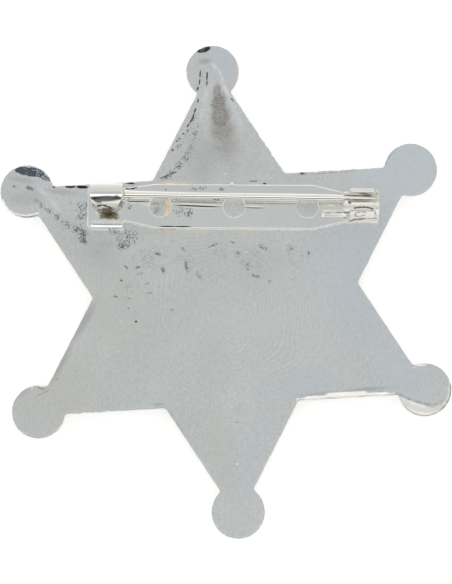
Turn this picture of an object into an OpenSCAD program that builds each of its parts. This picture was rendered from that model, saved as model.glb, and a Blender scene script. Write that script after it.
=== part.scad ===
// Six-pointed sheriff star badge with disc tips and a brooch bar on its back.
// It lies face down: the front points to -Z, the back and its pin to +Z, the top arm to +Y.
// The origin is the middle of the star, on the plane of the front's raised panel. Millimetres.

/* [Star] */
// From the middle of the star to the sharp tip of each arm
tip_reach = 27.65; // [25:0.05:34]
// From the sharp tip back to the middle of the end disc
disc_inset = 0.83; // [0.4:0.01:1.6]
// Radius of each end disc
disc_r = 3.18; // [2.4:0.02:4.2]
// Bevel around the rim of each end disc
disc_bevel = 0.2; // [0.05:0.01:0.35]
// Thickness of the star at its edge
edge_t = 0.9; // [0.8:0.02:1.6]
// Rise of the front's facets from the edge to the middle
facet_rise = 0.55; // [0.2:0.01:1.2]
// Flat margin between the edge and the front's facets
facet_margin = 0.3; // [0.1:0.02:0.8]

/* [Valleys of the back] */
// Depth of the valley along each arm
valley_depth = 0.3; // [0.1:0.01:0.5]
// Flat margin between the edge and the valley
valley_margin = 0.3; // [0.2:0.02:1]
// Where the valley starts, from the middle of the star
valley_start = 11; // [8:0.1:13]
// Length over which the valley sinks to its full depth
valley_run = 5.5; // [3:0.1:7]
// Length over which it rises again to the tip
valley_rise = 4; // [2:0.1:7]

/* [Ornament of the front] */
// Width of the blank raised panel
panel_w = 27; // [20:0.1:30]
// Height of the panel across the star
panel_h = 7.4; // [5:0.1:10]
// Middle of the panel above the middle of the star
panel_y = 3.4; // [1:0.1:5]
// How far the panel stands above the highest facet
panel_rise = 0.3; // [0.1:0.01:0.6]
// From the edge in to the raised border line
border_inset = 1; // [0.6:0.05:1.6]
// Width of the border line
border_w = 0.6; // [0.3:0.02:1]
// How far the border line stands above the edge
border_rise = 0.2; // [0.1:0.01:0.4]
// Radius of the ring of petals on the lower arm
rosette_r = 0.85; // [0.6:0.01:1.2]
// Radius of one petal
petal_r = 0.45; // [0.3:0.01:0.6]
// Middle of the rosette, to the right of the star's middle
rosette_x = 0.7; // [-2:0.05:2]
// Middle of the rosette, below the star's middle
rosette_y = 14.5; // [13:0.1:17]
// How far the rosette stands above the edge
rosette_rise = 0.25; // [0.15:0.01:0.35]

/* [Brooch bar] */
// Thickness of the sheet that the bar is stamped from
sheet_t = 0.42; // [0.3:0.01:0.6]
// Width of the bar's straight stretch
bar_w = 5.24; // [4.4:0.02:7]
// Width of the bar where it has narrowed
neck_w = 3.7; // [3:0.02:4.3]
// From one hole's middle to the next
hole_pitch = 8.9; // [6:0.05:11]
// Diameter of each hole
hole_d = 2.48; // [1.5:0.02:3.2]
// Straight stretch past the middle of the outer holes
hole_end = 0.65; // [0.2:0.05:3]
// Length over which the bar narrows
narrow_l = 3.8; // [2:0.05:6]
// Length of the pad under the catch
catch_pad_l = 4.1; // [3.9:0.05:5.5]
// Middle hole, to the right of the star's middle
bar_x = 1.63; // [-3:0.01:3]
// Middle hole, above the star's middle
bar_y = 10.03; // [6:0.01:11]
// Turn of the bar on the star's back, in degrees
bar_turn = -3.65; // [-6:0.05:6]

/* [Hinge] */
// Length of the hinge's roof and lip along the bar
roof_l = 3.95; // [3:0.05:5]
// Pad that shows past the roof at the bar's end
pad_margin = 0.4; // [0.1:0.05:1]
// From the bar's middle line down to the lip's inner face
lip_side = 2.1; // [1.9:0.02:2.6]
// Clear width between the lip and the tab's wall
hinge_gap = 3.88; // [3:0.02:4.6]
// Height of the lip above the bar
lip_h = 1; // [0.6:0.02:1.6]
// Height of the hinge's rivet above the bar
axle_h = 1.75; // [1.6:0.02:1.8]
// From the roof's open edge in to the rivet
axle_back = 0.42; // [0.38:0.01:0.5]
// Radius of the rivet
rivet_r = 0.27; // [0.2:0.01:0.3]
// Clearance around the rivet in the tab's wall
rivet_seat = 0.01; // [0.005:0.005:0.03]
// How far the rivet's head stands out around it
head_extra = 0.14; // [0.08:0.01:0.16]
// Thickness of the rivet's head
head_t = 0.22; // [0.15:0.01:0.3]
// Gap between the rivet's head and the needle's eye
head_gap = 0.05; // [0.03:0.01:0.1]
// Gap between the needle's root and the roof
roof_clear = 1; // [0.8:0.01:1.2]
// Inner radius of the bend between the wall and the roof
corner_r = 0.29; // [0.15:0.01:0.4]
// Flat stretch of the roof
roof_flat = 0.5; // [0.2:0.02:0.9]
// Inner radius of the bend down into the tongue
bend_r = 0.99; // [0.7:0.01:1.3]
// Slope of the tongue below the level, in degrees
tongue_slope = 62; // [50:1:75]
// Straight length of the tongue
tongue_l = 1.8; // [1:0.05:2.2]
// Length, seen from above, over which the tongue narrows to its round end
tongue_reach = 1.75; // [1.5:0.02:2]
// How the tongue narrows: 0.5 is a half ellipse, 1 a parabola
tongue_taper = 0.65; // [0.5:0.01:1]

/* [Needle] */
// Radius of the needle's wire
needle_r = 0.4; // [0.3:0.01:0.45]
// Width of the metal around the eye
eye_band = 0.75; // [0.6:0.01:0.9]
// Clearance of the eye around the rivet
eye_clear = 0.03; // [0.02:0.01:0.1]
// Gap between the eye and the tab's wall
eye_side = 0.29; // [0.15:0.01:0.5]
// How far the wire runs above the rivet
wire_rise = 0.5; // [0.3:0.01:0.6]
// Extra radius of the wire where it leaves the eye
root_extra = 0.1; // [0.02:0.01:0.15]
// From the rivet to where the wire has its plain radius
root_l = 2.1; // [1.6:0.05:3]
// Radius of the ground end just before the point
ground_r = 0.3; // [0.2:0.01:0.32]
// Plain wire ends this far before the lever
ground_lead = 0.35; // [0.25:0.05:3]
// Length of the point
point_l = 1.5; // [0.8:0.05:2]
// Radius at the very tip
tip_r = 0.06; // [0.03:0.01:0.12]

/* [Catch] */
// Outer radius of the catch's housing
housing_r = 1.84; // [1.75:0.02:2.2]
// Length of the housing along the bar
housing_l = 3.2; // [2.4:0.05:3.5]
// From the start of the catch's pad to the housing
housing_lead = 0.55; // [0.3:0.05:0.6]
// Height of the housing's axis above the bar
catch_h = 2.1; // [1.95:0.02:2.2]
// Housing's axis above the bar's middle line
catch_v = 0.2; // [-0.2:0.02:0.5]
// Width of the foot that joins the housing to the bar
foot_w = 1.4; // [0.8:0.05:1.6]
// Clearance of the barrel in the housing
barrel_clear = 0.06; // [0.03:0.01:0.1]
// Wall of the barrel
barrel_wall = 0.38; // [0.3:0.01:0.42]
// Barrel that shows before the housing
collar_l = 0.75; // [0.7:0.05:1.1]
// Gap between the housing's end and the barrel's rim
rim_gap = 0.05; // [0.03:0.01:0.15]
// Thickness of the barrel's rim
rim_l = 0.25; // [0.15:0.01:0.35]
// How far the rim stands over the barrel
rim_extra = 0.2; // [0.1:0.01:0.3]
// Gap between the needle's ground end and the barrel's bore
needle_clear = 0.1; // [0.06:0.01:0.15]
// Gap beside the needle as it leaves the barrel and the housing
mouth_clear = 0.12; // [0.08:0.01:0.16]
// Length of the catch's lever
lever_l = 2.6; // [1.5:0.05:4]
// Width of the lever
lever_w = 0.58; // [0.45:0.01:0.75]
// From the barrel's axis out to the lever's inner face
lever_side = 0.6; // [0.56:0.01:0.7]
// From the barrel's axis down to the lever's top face
lever_drop = 0.82; // [0.78:0.01:0.95]
// Gap between the lever and the bar under it
lever_gap = 0.13; // [0.08:0.01:0.3]
// Radius of the round nub that keeps the barrel in its housing
nub_r = 0.3; // [0.25:0.01:0.33]

/* [Hidden] */
$fn = 64;
arms = 6;
petals = 6;
arc_steps = 10;
// A cut runs this far past the surface that it opens
over = 0.5;

// Heights of the star, upward from the panel that it lies on
apex_z = panel_rise;
front_z = apex_z + facet_rise;
back_z = front_z + edge_t;
disc_reach = tip_reach - disc_inset;

// Places along the bar, from its middle hole toward the catch
straight_end = hole_pitch + hole_end;
pad_start = straight_end + narrow_l;
hinge_end = -pad_start - roof_l - pad_margin;
catch_end = pad_start + catch_pad_l;
axle_u = -pad_start - axle_back;
housing_u = pad_start + housing_lead;
barrel_u = housing_u - collar_l;
lever_u = barrel_u - lever_l;
barrel_end = housing_u + housing_l + rim_gap + rim_l;

// Heights above the star's back, with the bar's own sheet below them
axle_z = sheet_t + axle_h;
catch_z = sheet_t + catch_h;
eye_r = rivet_r + eye_clear + eye_band;
wire_z = axle_z + wire_rise;
roof_z = wire_z + needle_r + root_extra + roof_clear;

// Places across the bar, upward from its middle line
lip_v = -lip_side - sheet_t;
wall_v = hinge_gap - lip_side;
wall_out = wall_v + sheet_t;
eye_v = wall_v - eye_side - needle_r;
tongue_top = wall_v - corner_r - roof_flat - sheet_t / 2;
head_v = eye_v - needle_r - head_gap - head_t;

// The barrel fits the housing, and the needle lies to one side of the barrel's bore
bore_r = housing_r - sheet_t;
barrel_r = bore_r - barrel_clear;
barrel_bore = barrel_r - barrel_wall;
side_off = barrel_bore - ground_r - needle_clear;
needle_v = catch_v + side_off;
needle_z = catch_z + needle_clear;
mouth_half = side_off + needle_r + mouth_clear;
mouth_deg = asin(mouth_half / bore_r);
lever_h = catch_z - lever_drop - sheet_t - lever_gap;
slot_from = -5;
slot_to = 60;
nub_deg = -15;

// The needle runs straight from its eye to the middle of the housing
span_u = housing_u + housing_l / 2 - axle_u;
needle_yaw = atan2(needle_v - eye_v, span_u);
needle_dip = -atan2(needle_z - wire_z, span_u);
plain_end = (lever_u - axle_u) - ground_lead;
needle_l = housing_u + housing_l - axle_u;
ground_end = needle_l - point_l;

// One corner of a hexagram: even ones are tips, odd ones are notches
function star_corner(reach, i) =
    (i % 2 == 0 ? reach : reach / sqrt(3)) * [sin(i * 180 / arms), cos(i * 180 / arms)];

// The corners of a hexagram whose edges lie inset from those of the badge
function star_ring(inset) =
    [for (i = [0 : 2 * arms - 1]) star_corner(tip_reach - 2 * inset, i)];

// The same corners at one height
function ring_at(ring, z) = [for (p = ring) [p[0], p[1], z]];

// A sector from one angle to another, measured from straight up toward +Y
function sector(reach, from, to) =
    concat([[0, 0]], [for (k = [0 : 4]) let (a = from + (to - from) * k / 4) reach * [sin(a), cos(a)]]);

// Points along an arc, counted from +X toward +Y
function arc(mid, r, from, to) =
    [for (k = [0 : arc_steps]) let (a = from + (to - from) * k / arc_steps) mid + r * [cos(a), sin(a)]];

// Places children in the bar's frame, with the star's back at height 0
module on_bar() {
    translate([bar_x, bar_y, back_z])
        rotate([0, 0, bar_turn])
            children();
}

// Extrudes a drawing whose x runs across the bar and whose y runs up, along the bar
module along_bar(from, length) {
    translate([from, 0, 0])
        rotate([90, 0, 90])
            linear_extrude(length)
                children();
}

// The front's facets: a low pyramid whose ridges run to the tips, standing down from the plate
module front_facets() {
    ring = star_ring(facet_margin);
    n = len(ring);
    points = concat(ring_at(ring, front_z + edge_t / 2), ring_at(ring, front_z), [[0, 0, apex_z]]);
    sides = [for (i = [0 : n - 1]) [i, n + i, n + (i + 1) % n, (i + 1) % n]];
    facets = [for (i = [0 : n - 1]) [n + i, 2 * n, n + (i + 1) % n]];
    top = [[for (i = [0 : n - 1]) i]];
    polyhedron(points, concat(top, sides, facets));
}

// The valley of one arm, cut into the back: two slopes that meet along the arm's axis
module valley() {
    reach = tip_reach - 2 * valley_margin;
    side_y = reach / 2 + valley_margin;
    side_x = (reach - side_y) / sqrt(3);
    rim = [[0, valley_start], [side_x, side_y], [0, reach], [-side_x, side_y]];
    floor_z = back_z - valley_depth;
    points = concat(
        ring_at(rim, back_z + over),
        ring_at(rim, back_z),
        [[0, valley_start + valley_run, floor_z], [0, reach - valley_rise, floor_z]]
    );
    lid = [[3, 2, 1, 0]];
    walls = [for (i = [0 : 3]) [i, (i + 1) % 4, 4 + (i + 1) % 4, 4 + i]];
    slopes = [
        [4, 5, 8], [5, 9, 8], [5, 6, 9],
        [6, 7, 9], [7, 8, 9], [7, 4, 8]
    ];
    polyhedron(points, concat(lid, walls, slopes));
}

// The star: one stamped plate with disc tips, facets and ornament in front, valleys behind
module star() {
    color([0.74, 0.76, 0.77])
        difference() {
            union() {
                translate([0, 0, front_z])
                    linear_extrude(edge_t)
                        polygon(star_ring(0));
                for (i = [0 : arms - 1])
                    rotate([0, 0, i * 360 / arms])
                        translate([0, disc_reach, front_z])
                            end_disc();
                front_facets();
                front_panel();
                border_line();
                rosette();
            }
            for (i = [0 : arms - 1])
                rotate([0, 0, i * 360 / arms])
                    valley();
        }
}

// One end disc with both rims bevelled
module end_disc() {
    rotate_extrude()
        polygon([
            [0, 0], [disc_r - disc_bevel, 0], [disc_r, disc_bevel],
            [disc_r, edge_t - disc_bevel], [disc_r - disc_bevel, edge_t], [0, edge_t]
        ]);
}

// The blank raised panel, which is also what the badge lies on
module front_panel() {
    translate([-panel_w / 2, panel_y - panel_h / 2, 0])
        cube([panel_w, panel_h, front_z + edge_t / 2]);
}

// The raised line that follows the edge
module border_line() {
    translate([0, 0, front_z - border_rise])
        linear_extrude(border_rise + edge_t / 2)
            difference() {
                polygon(star_ring(border_inset));
                polygon(star_ring(border_inset + border_w));
            }
}

// A plain six-petal rosette on the lower arm
module rosette() {
    translate([rosette_x, -rosette_y, front_z - rosette_rise])
        union() {
            cylinder(r = rosette_r, h = rosette_rise + edge_t / 2);
            for (i = [0 : petals - 1])
                rotate([0, 0, i * 360 / petals])
                    translate([rosette_r, 0, 0])
                        cylinder(r = petal_r, h = rosette_rise + edge_t / 2);
        }
}

// The bar: plate, hinge and catch housing folded from one sheet
module brooch_bar() {
    color([0.83, 0.82, 0.79])
        on_bar()
            difference() {
                union() {
                    bar_plate();
                    hinge_tab();
                    hinge_lip();
                    catch_housing();
                }
                rivet_axis(wall_v - over)
                    cylinder(r = rivet_r + rivet_seat, h = sheet_t + 2 * over);
            }
}

// Turns children's +Z along the rivet's axis, toward the bar's upper edge from a place across it
module rivet_axis(from) {
    translate([axle_u, from, axle_z])
        rotate([-90, 0, 0])
            children();
}

// The flat plate with its three holes
module bar_plate() {
    difference() {
        linear_extrude(sheet_t)
            polygon([
                [hinge_end, lip_v], [-pad_start, lip_v], [-pad_start, -neck_w / 2],
                [-straight_end, -bar_w / 2], [straight_end, -bar_w / 2],
                [pad_start, -neck_w / 2], [catch_end, -neck_w / 2],
                [catch_end, neck_w / 2], [pad_start, neck_w / 2],
                [straight_end, bar_w / 2], [-straight_end, bar_w / 2],
                [-pad_start, wall_out], [hinge_end, wall_out]
            ]);
        for (i = [-1 : 1])
            translate([i * hole_pitch, 0, -over])
                cylinder(d = hole_d, h = sheet_t + 2 * over);
    }
}

// The tab that rises at the bar's upper edge and folds over the eye into a tongue
module hinge_tab() {
    corner_mid = [wall_v - corner_r, roof_z - corner_r];
    bend_mid = [wall_v - corner_r - roof_flat, roof_z - bend_r];
    down = tongue_l * [-cos(tongue_slope), -sin(tongue_slope)];
    outside = arc(bend_mid, bend_r + sheet_t, 90, 90 + tongue_slope);
    inside = arc(bend_mid, bend_r, 90 + tongue_slope, 90);
    difference() {
        along_bar(-pad_start - roof_l, roof_l)
            polygon(concat(
                [[wall_out, 0]],
                arc(corner_mid, corner_r + sheet_t, 0, 90),
                outside,
                [outside[arc_steps] + down, inside[0] + down],
                inside,
                arc(corner_mid, corner_r, 90, 0),
                [[wall_v, 0]]
            ));
        // The tongue narrows to a round end
        translate([-pad_start - roof_l / 2, 0, sheet_t + over])
            linear_extrude(roof_z + over)
                difference() {
                    translate([-roof_l, -lip_side])
                        square([2 * roof_l, lip_side + tongue_top]);
                    tongue_outline();
                }
    }
}

// The tongue seen from above, round its end
module tongue_outline() {
    polygon([
        for (k = [-arc_steps : arc_steps])
            let (a = 90 * k / arc_steps)
                [sign(a) * roof_l / 2 * pow(abs(sin(a)), 2 * tongue_taper), tongue_top - tongue_reach * cos(a)]
    ]);
}

// The plain lip at the bar's lower edge, below the tongue
module hinge_lip() {
    translate([-pad_start - roof_l, lip_v, 0])
        cube([roof_l, sheet_t, sheet_t + lip_h]);
}

// The housing: a tube along the bar, open along its top, on a short foot
module catch_housing() {
    along_bar(housing_u, housing_l)
        difference() {
            union() {
                translate([catch_v, catch_z])
                    circle(r = housing_r);
                translate([catch_v - foot_w / 2, 0])
                    square([foot_w, catch_z - housing_r + sheet_t / 2]);
            }
            translate([catch_v, catch_z])
                circle(r = bore_r);
            translate([catch_v, catch_z])
                polygon(sector(2 * housing_r, -mouth_deg, mouth_deg));
        }
}

// The rivet: its shank stands in the tab's wall and its head keeps the needle's eye on
module hinge_rivet() {
    color([0.72, 0.71, 0.68])
        on_bar()
            rivet_axis(head_v)
                union() {
                    cylinder(r = rivet_r, h = wall_out - head_v);
                    cylinder(r = rivet_r + head_extra, h = head_t);
                }
}

// The needle: a flattened eye on the rivet, a plain wire and a ground point
module needle() {
    color([0.86, 0.86, 0.84])
        on_bar()
            translate([axle_u, eye_v, axle_z])
                difference() {
                    union() {
                        rotate([90, 0, 0])
                            cylinder(r = eye_r, h = 2 * needle_r, center = true);
                        translate([0, 0, wire_rise])
                            rotate([0, 90 + needle_dip, needle_yaw])
                                needle_wire();
                    }
                    rotate([90, 0, 0])
                        cylinder(r = rivet_r + eye_clear, h = 2 * needle_r + 2 * over, center = true);
                }
}

// The wire along +Z: it leaves the eye's rim a little thicker and ends in a ground point
module needle_wire() {
    root_from = rivet_r + eye_clear + root_extra;
    translate([0, 0, root_from])
        cylinder(r1 = needle_r + root_extra, r2 = needle_r, h = root_l - root_from);
    translate([0, 0, root_l])
        cylinder(r = needle_r, h = plain_end - root_l);
    translate([0, 0, plain_end])
        cylinder(r1 = needle_r, r2 = ground_r, h = ground_end - plain_end);
    translate([0, 0, ground_end])
        cylinder(r1 = ground_r, r2 = tip_r, h = point_l);
}

// The barrel that turns in the housing, with its slot up, its lever, rim and nub
module catch_barrel() {
    color([0.80, 0.79, 0.76])
        on_bar()
            union() {
                along_bar(barrel_u, barrel_end - barrel_u)
                    barrel_section(barrel_r);
                along_bar(barrel_end - rim_l, rim_l)
                    barrel_section(barrel_r + rim_extra);
                along_bar(lever_u, lever_l + collar_l / 2)
                    translate([catch_v - lever_side - lever_w, sheet_t + lever_gap])
                        square([lever_w, lever_h]);
                translate([barrel_u + collar_l / 2, catch_v, catch_z])
                    rotate([-nub_deg, 0, 0])
                        translate([0, 0, barrel_r])
                            sphere(r = nub_r);
            }
}

// The barrel's section: a ring with a slot wide enough for the needle to lift out
module barrel_section(outer) {
    translate([catch_v, catch_z])
        difference() {
            circle(r = outer);
            circle(r = barrel_bore);
            polygon(sector(2 * outer, slot_from, slot_to));
            translate([side_off - ground_r - mouth_clear, 0])
                square([2 * (ground_r + mouth_clear), 2 * outer]);
        }
}

star();
brooch_bar();
hinge_rivet();
needle();
catch_barrel();
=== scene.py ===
"""A sheriff star badge seen from its back, with its bar pin, its catch, the studio and the camera.

Lengths are millimetres until a mesh is made. Two frames are used. The star's frame is the row's own: its
middle is at the origin, +Y is the top arm and +Z points out of the back. The bar's frame has u along the
bar toward the catch, v across it toward the top arm and w up from the star's back.
"""

import logging
import math
from dataclasses import dataclass, field, replace
from enum import Enum
from typing import Callable

import bpy
import numpy as np
from mathutils import Matrix, Vector
from mathutils.geometry import delaunay_2d_cdt
from mathutils.kdtree import KDTree


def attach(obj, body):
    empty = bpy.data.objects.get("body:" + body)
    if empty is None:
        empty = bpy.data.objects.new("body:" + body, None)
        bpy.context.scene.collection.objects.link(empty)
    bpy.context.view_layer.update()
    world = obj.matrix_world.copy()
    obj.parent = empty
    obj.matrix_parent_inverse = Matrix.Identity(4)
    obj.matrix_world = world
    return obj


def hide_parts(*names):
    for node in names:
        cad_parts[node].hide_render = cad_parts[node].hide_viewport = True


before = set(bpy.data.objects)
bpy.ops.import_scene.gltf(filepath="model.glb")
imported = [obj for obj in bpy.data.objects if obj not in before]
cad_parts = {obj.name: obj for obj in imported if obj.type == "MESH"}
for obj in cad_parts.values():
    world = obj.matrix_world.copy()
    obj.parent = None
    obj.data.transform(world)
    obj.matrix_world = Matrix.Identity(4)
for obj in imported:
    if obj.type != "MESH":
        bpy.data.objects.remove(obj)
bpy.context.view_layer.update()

LOG = logging.getLogger("badge")
MM = 0.001
HALF_TIP = math.radians(30)
NEXT_TO_NOTHING = (1e-7, 1e-7, 1e-7)
Array = np.ndarray
Pixel = tuple[float, float]
Triple = tuple[float, float, float]
Height = Callable[[Array], Array]
Placer = Callable[[Array, Array], tuple[Array, Array]]


class Body(Enum):
    """The bodies of the mechanism that a piece can ride on."""

    BADGE = "badge"
    PIN = "pin"
    CATCH = "catch"


class Grain(Enum):
    """How a mark on the plating breaks up."""

    SMOOTH = 0
    SPECKLED = 1
    BROKEN = 2
    HAZY = 3
    DOTTED = 4


@dataclass(frozen=True)
class Photograph:
    """The photograph's frame, the camera that sees it so, and how its pixels lie on the star's back."""

    height: int = 584
    star_x: float = 225.3
    star_y: float = 290.0
    mm_per_px: float = 0.12107
    turn: float = math.radians(3.3)
    back_z: float = 1.75
    distance: float = 550.0
    tilt: float = math.radians(8.0)
    middle_x: float = 226.0
    middle_y: float = 292.0
    lens_mm_per_px: float = 0.1204

    def axes(self) -> tuple[Array, Array, Array]:
        """The camera's directions.

        Returns:
            Its right, its up and its back in the star's frame.
        """
        ahead = np.array([math.sin(self.turn), math.cos(self.turn), 0.0])
        back = np.array([0.0, 0.0, math.cos(self.tilt)]) - ahead * math.sin(self.tilt)
        right = np.array([math.cos(self.turn), -math.sin(self.turn), 0.0])
        return right, np.cross(back, right), back

    def target(self) -> Array:
        """Where the camera looks.

        Returns:
            The place on the star's back, in the star's frame.
        """
        right = (self.middle_x - self.star_x) * self.mm_per_px
        up = (self.star_y - self.middle_y) * self.mm_per_px
        cos, sin = math.cos(self.turn), math.sin(self.turn)
        return np.array([right * cos + up * sin, up * cos - right * sin, self.back_z])

    def spot(self, x: float, y: float) -> Array:
        """The place on the star's back that shows at a pixel.

        Args:
            x: The pixel's column.
            y: The pixel's row.

        Returns:
            The place in the star's frame.
        """
        right, up, back = self.axes()
        eye = self.target() + back * self.distance
        across = (x - self.middle_x) * self.lens_mm_per_px
        rise = (self.middle_y - y) * self.lens_mm_per_px
        way = right * across + up * rise - back * self.distance
        return (eye + way * (self.back_z - eye[2]) / way[2])[:2]

    def length(self, pixels: float) -> float:
        """A length in pixels as millimetres."""
        return pixels * self.mm_per_px


PHOTO = Photograph()


def smooth(low: float, high: float, value: Array) -> Array:
    """Eases from 0 at low to 1 at high; low may lie above high."""
    t = np.clip((value - low) / (high - low), 0, 1)
    return t * t * (3 - 2 * t)


def arc(mid: tuple[float, float], radius: float, start: float, stop: float, count: int) -> Array:
    """Points along an arc.

    Args:
        mid: The arc's centre.
        radius: Its radius.
        start: The first angle in degrees, from the first axis toward the second.
        stop: The last angle in degrees.
        count: How many points it has.

    Returns:
        The points as rows.
    """
    angles = np.radians(np.linspace(start, stop, count))
    return np.array(mid) + radius * np.column_stack((np.cos(angles), np.sin(angles)))


def spread(points: Array, spacing: float) -> Array:
    """Adds points to a closed loop, so that none are further apart than the spacing.

    Args:
        points: The loop's points.
        spacing: The most that neighbouring points lie apart.

    Returns:
        The loop with the added points.
    """
    parts = []
    for a, b in zip(points, np.roll(points, -1, axis=0)):
        count = max(1, math.ceil(float(np.linalg.norm(b - a)) / spacing))
        parts.append(a + (b - a) * (np.arange(count) / count)[:, None])
    return np.vstack(parts)


def rounded(corners: list[tuple[float, float]], radius: float, spacing: float, steps: int = 6) -> Array:
    """A polygon with its corners rounded.

    Args:
        corners: The corners in order.
        radius: The radius of every corner, less where its sides are short.
        spacing: The most that neighbouring points lie apart.
        steps: How many steps each corner has.

    Returns:
        The closed loop's points.
    """
    points = []
    count = len(corners)
    for i in range(count):
        before, corner, after = (np.array(corners[(i + k) % count], float) for k in (-1, 0, 1))
        back, ahead = before - corner, after - corner
        back_l, ahead_l = np.linalg.norm(back), np.linalg.norm(ahead)
        back, ahead = back / back_l, ahead / ahead_l
        half = math.acos(float(np.clip(back @ ahead, -1, 1))) / 2
        reach = min(radius / math.tan(half), 0.45 * back_l, 0.45 * ahead_l)
        t = np.linspace(0, 1, steps + 1)[:, None]
        start, stop = corner + back * reach, corner + ahead * reach
        points.append((1 - t) ** 2 * start + 2 * t * (1 - t) * corner + t * t * stop)
    return spread(np.vstack(points), spacing)


def soften(points: Array, at: int, reach: float, steps: int = 7) -> Array:
    """Rounds one corner of an open line.

    Args:
        points: The line's points.
        at: The corner's index.
        reach: How far along the line the rounding starts on either side.
        steps: How many steps the rounding has.

    Returns:
        The line with the corner rounded.
    """
    def walk(step: int) -> tuple[Array, int]:
        """Goes from the corner as far as the reach.

        Args:
            step: 1 to go forward along the line and -1 to go back.

        Returns:
            The point that is reached, and the first index beyond it.
        """
        left, i = reach, at
        while True:
            gap = float(np.linalg.norm(points[i + step] - points[i]))
            if gap >= left or i + 2 * step < 0 or i + 2 * step >= len(points):
                return points[i] + (points[i + step] - points[i]) * min(1.0, left / gap), i + step
            left -= gap
            i += step

    start, before = walk(-1)
    stop, after = walk(1)
    t = np.linspace(0, 1, steps + 1)[:, None]
    curve = (1 - t) ** 2 * start + 2 * t * (1 - t) * points[at] + t * t * stop
    return np.vstack((points[:before + 1], curve, points[after:]))


def side_normals(loop: Array) -> tuple[Array, Array]:
    """Which way leads out of the sheet that a loop bounds.

    Args:
        loop: The closed loop's points.

    Returns:
        The outward direction at each point, and how much a mitre lengthens there.
    """
    ahead = np.roll(loop, -1, axis=0) - loop
    ahead /= np.linalg.norm(ahead, axis=1)[:, None]
    back = np.roll(ahead, 1, axis=0)
    out = np.column_stack((ahead[:, 1] + back[:, 1], -ahead[:, 0] - back[:, 0]))
    out /= np.linalg.norm(out, axis=1)[:, None]
    cos = np.clip(out[:, 0] * ahead[:, 1] - out[:, 1] * ahead[:, 0], 0.5, 1)
    return out, 1 / cos


def inside(points: Array, loops: list[Array]) -> Array:
    """Tells which points lie in a sheet.

    Args:
        points: The points to test.
        loops: The loops that bound the sheet.

    Returns:
        True for each point that lies in it.
    """
    found = np.zeros(len(points), bool)
    x, y = points[:, 0], points[:, 1]
    for loop in loops:
        for (ax, ay), (bx, by) in zip(loop, np.roll(loop, -1, axis=0)):
            if ay == by:
                continue
            crosses = (ay > y) != (by > y)
            found ^= crosses & (x < (bx - ax) * (y - ay) / (by - ay) + ax)
    return found


def level(height: float) -> Height:
    """A height field that is level."""
    return lambda points: np.full(len(points), height)


def spin(turn: float) -> Array:
    """The matrix that turns rows of points to the left by an angle in radians."""
    return np.array([[math.cos(turn), math.sin(turn)], [-math.sin(turn), math.cos(turn)]])


@dataclass
class Shell:
    """One closed surface in the star's frame: its points, the normal at each, and its faces."""

    points: Array
    normals: Array
    faces: list[tuple[int, ...]]


def make_object(name: str, shells: list[Shell]) -> bpy.types.Object:
    """Makes one mesh object in metres from shells, shaded smooth.

    Args:
        name: The object's name.
        shells: Its closed surfaces.

    Returns:
        The new object, linked to the scene.
    """
    faces, first = [], 0
    for shell in shells:
        faces += [tuple(i + first for i in face) for face in shell.faces]
        first += len(shell.points)
    points = np.vstack([shell.points for shell in shells])
    normals = np.vstack([shell.normals for shell in shells])
    normals = normals / np.linalg.norm(normals, axis=1)[:, None]
    mesh = bpy.data.meshes.new(name)
    mesh.from_pydata((points * MM).tolist(), [], faces)
    mesh.polygons.foreach_set("use_smooth", [True] * len(mesh.polygons))
    mesh.update()
    mesh.normals_split_custom_set_from_vertices(normals.tolist())
    made = bpy.data.objects.new(name, mesh)
    bpy.context.scene.collection.objects.link(made)
    return made


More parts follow.
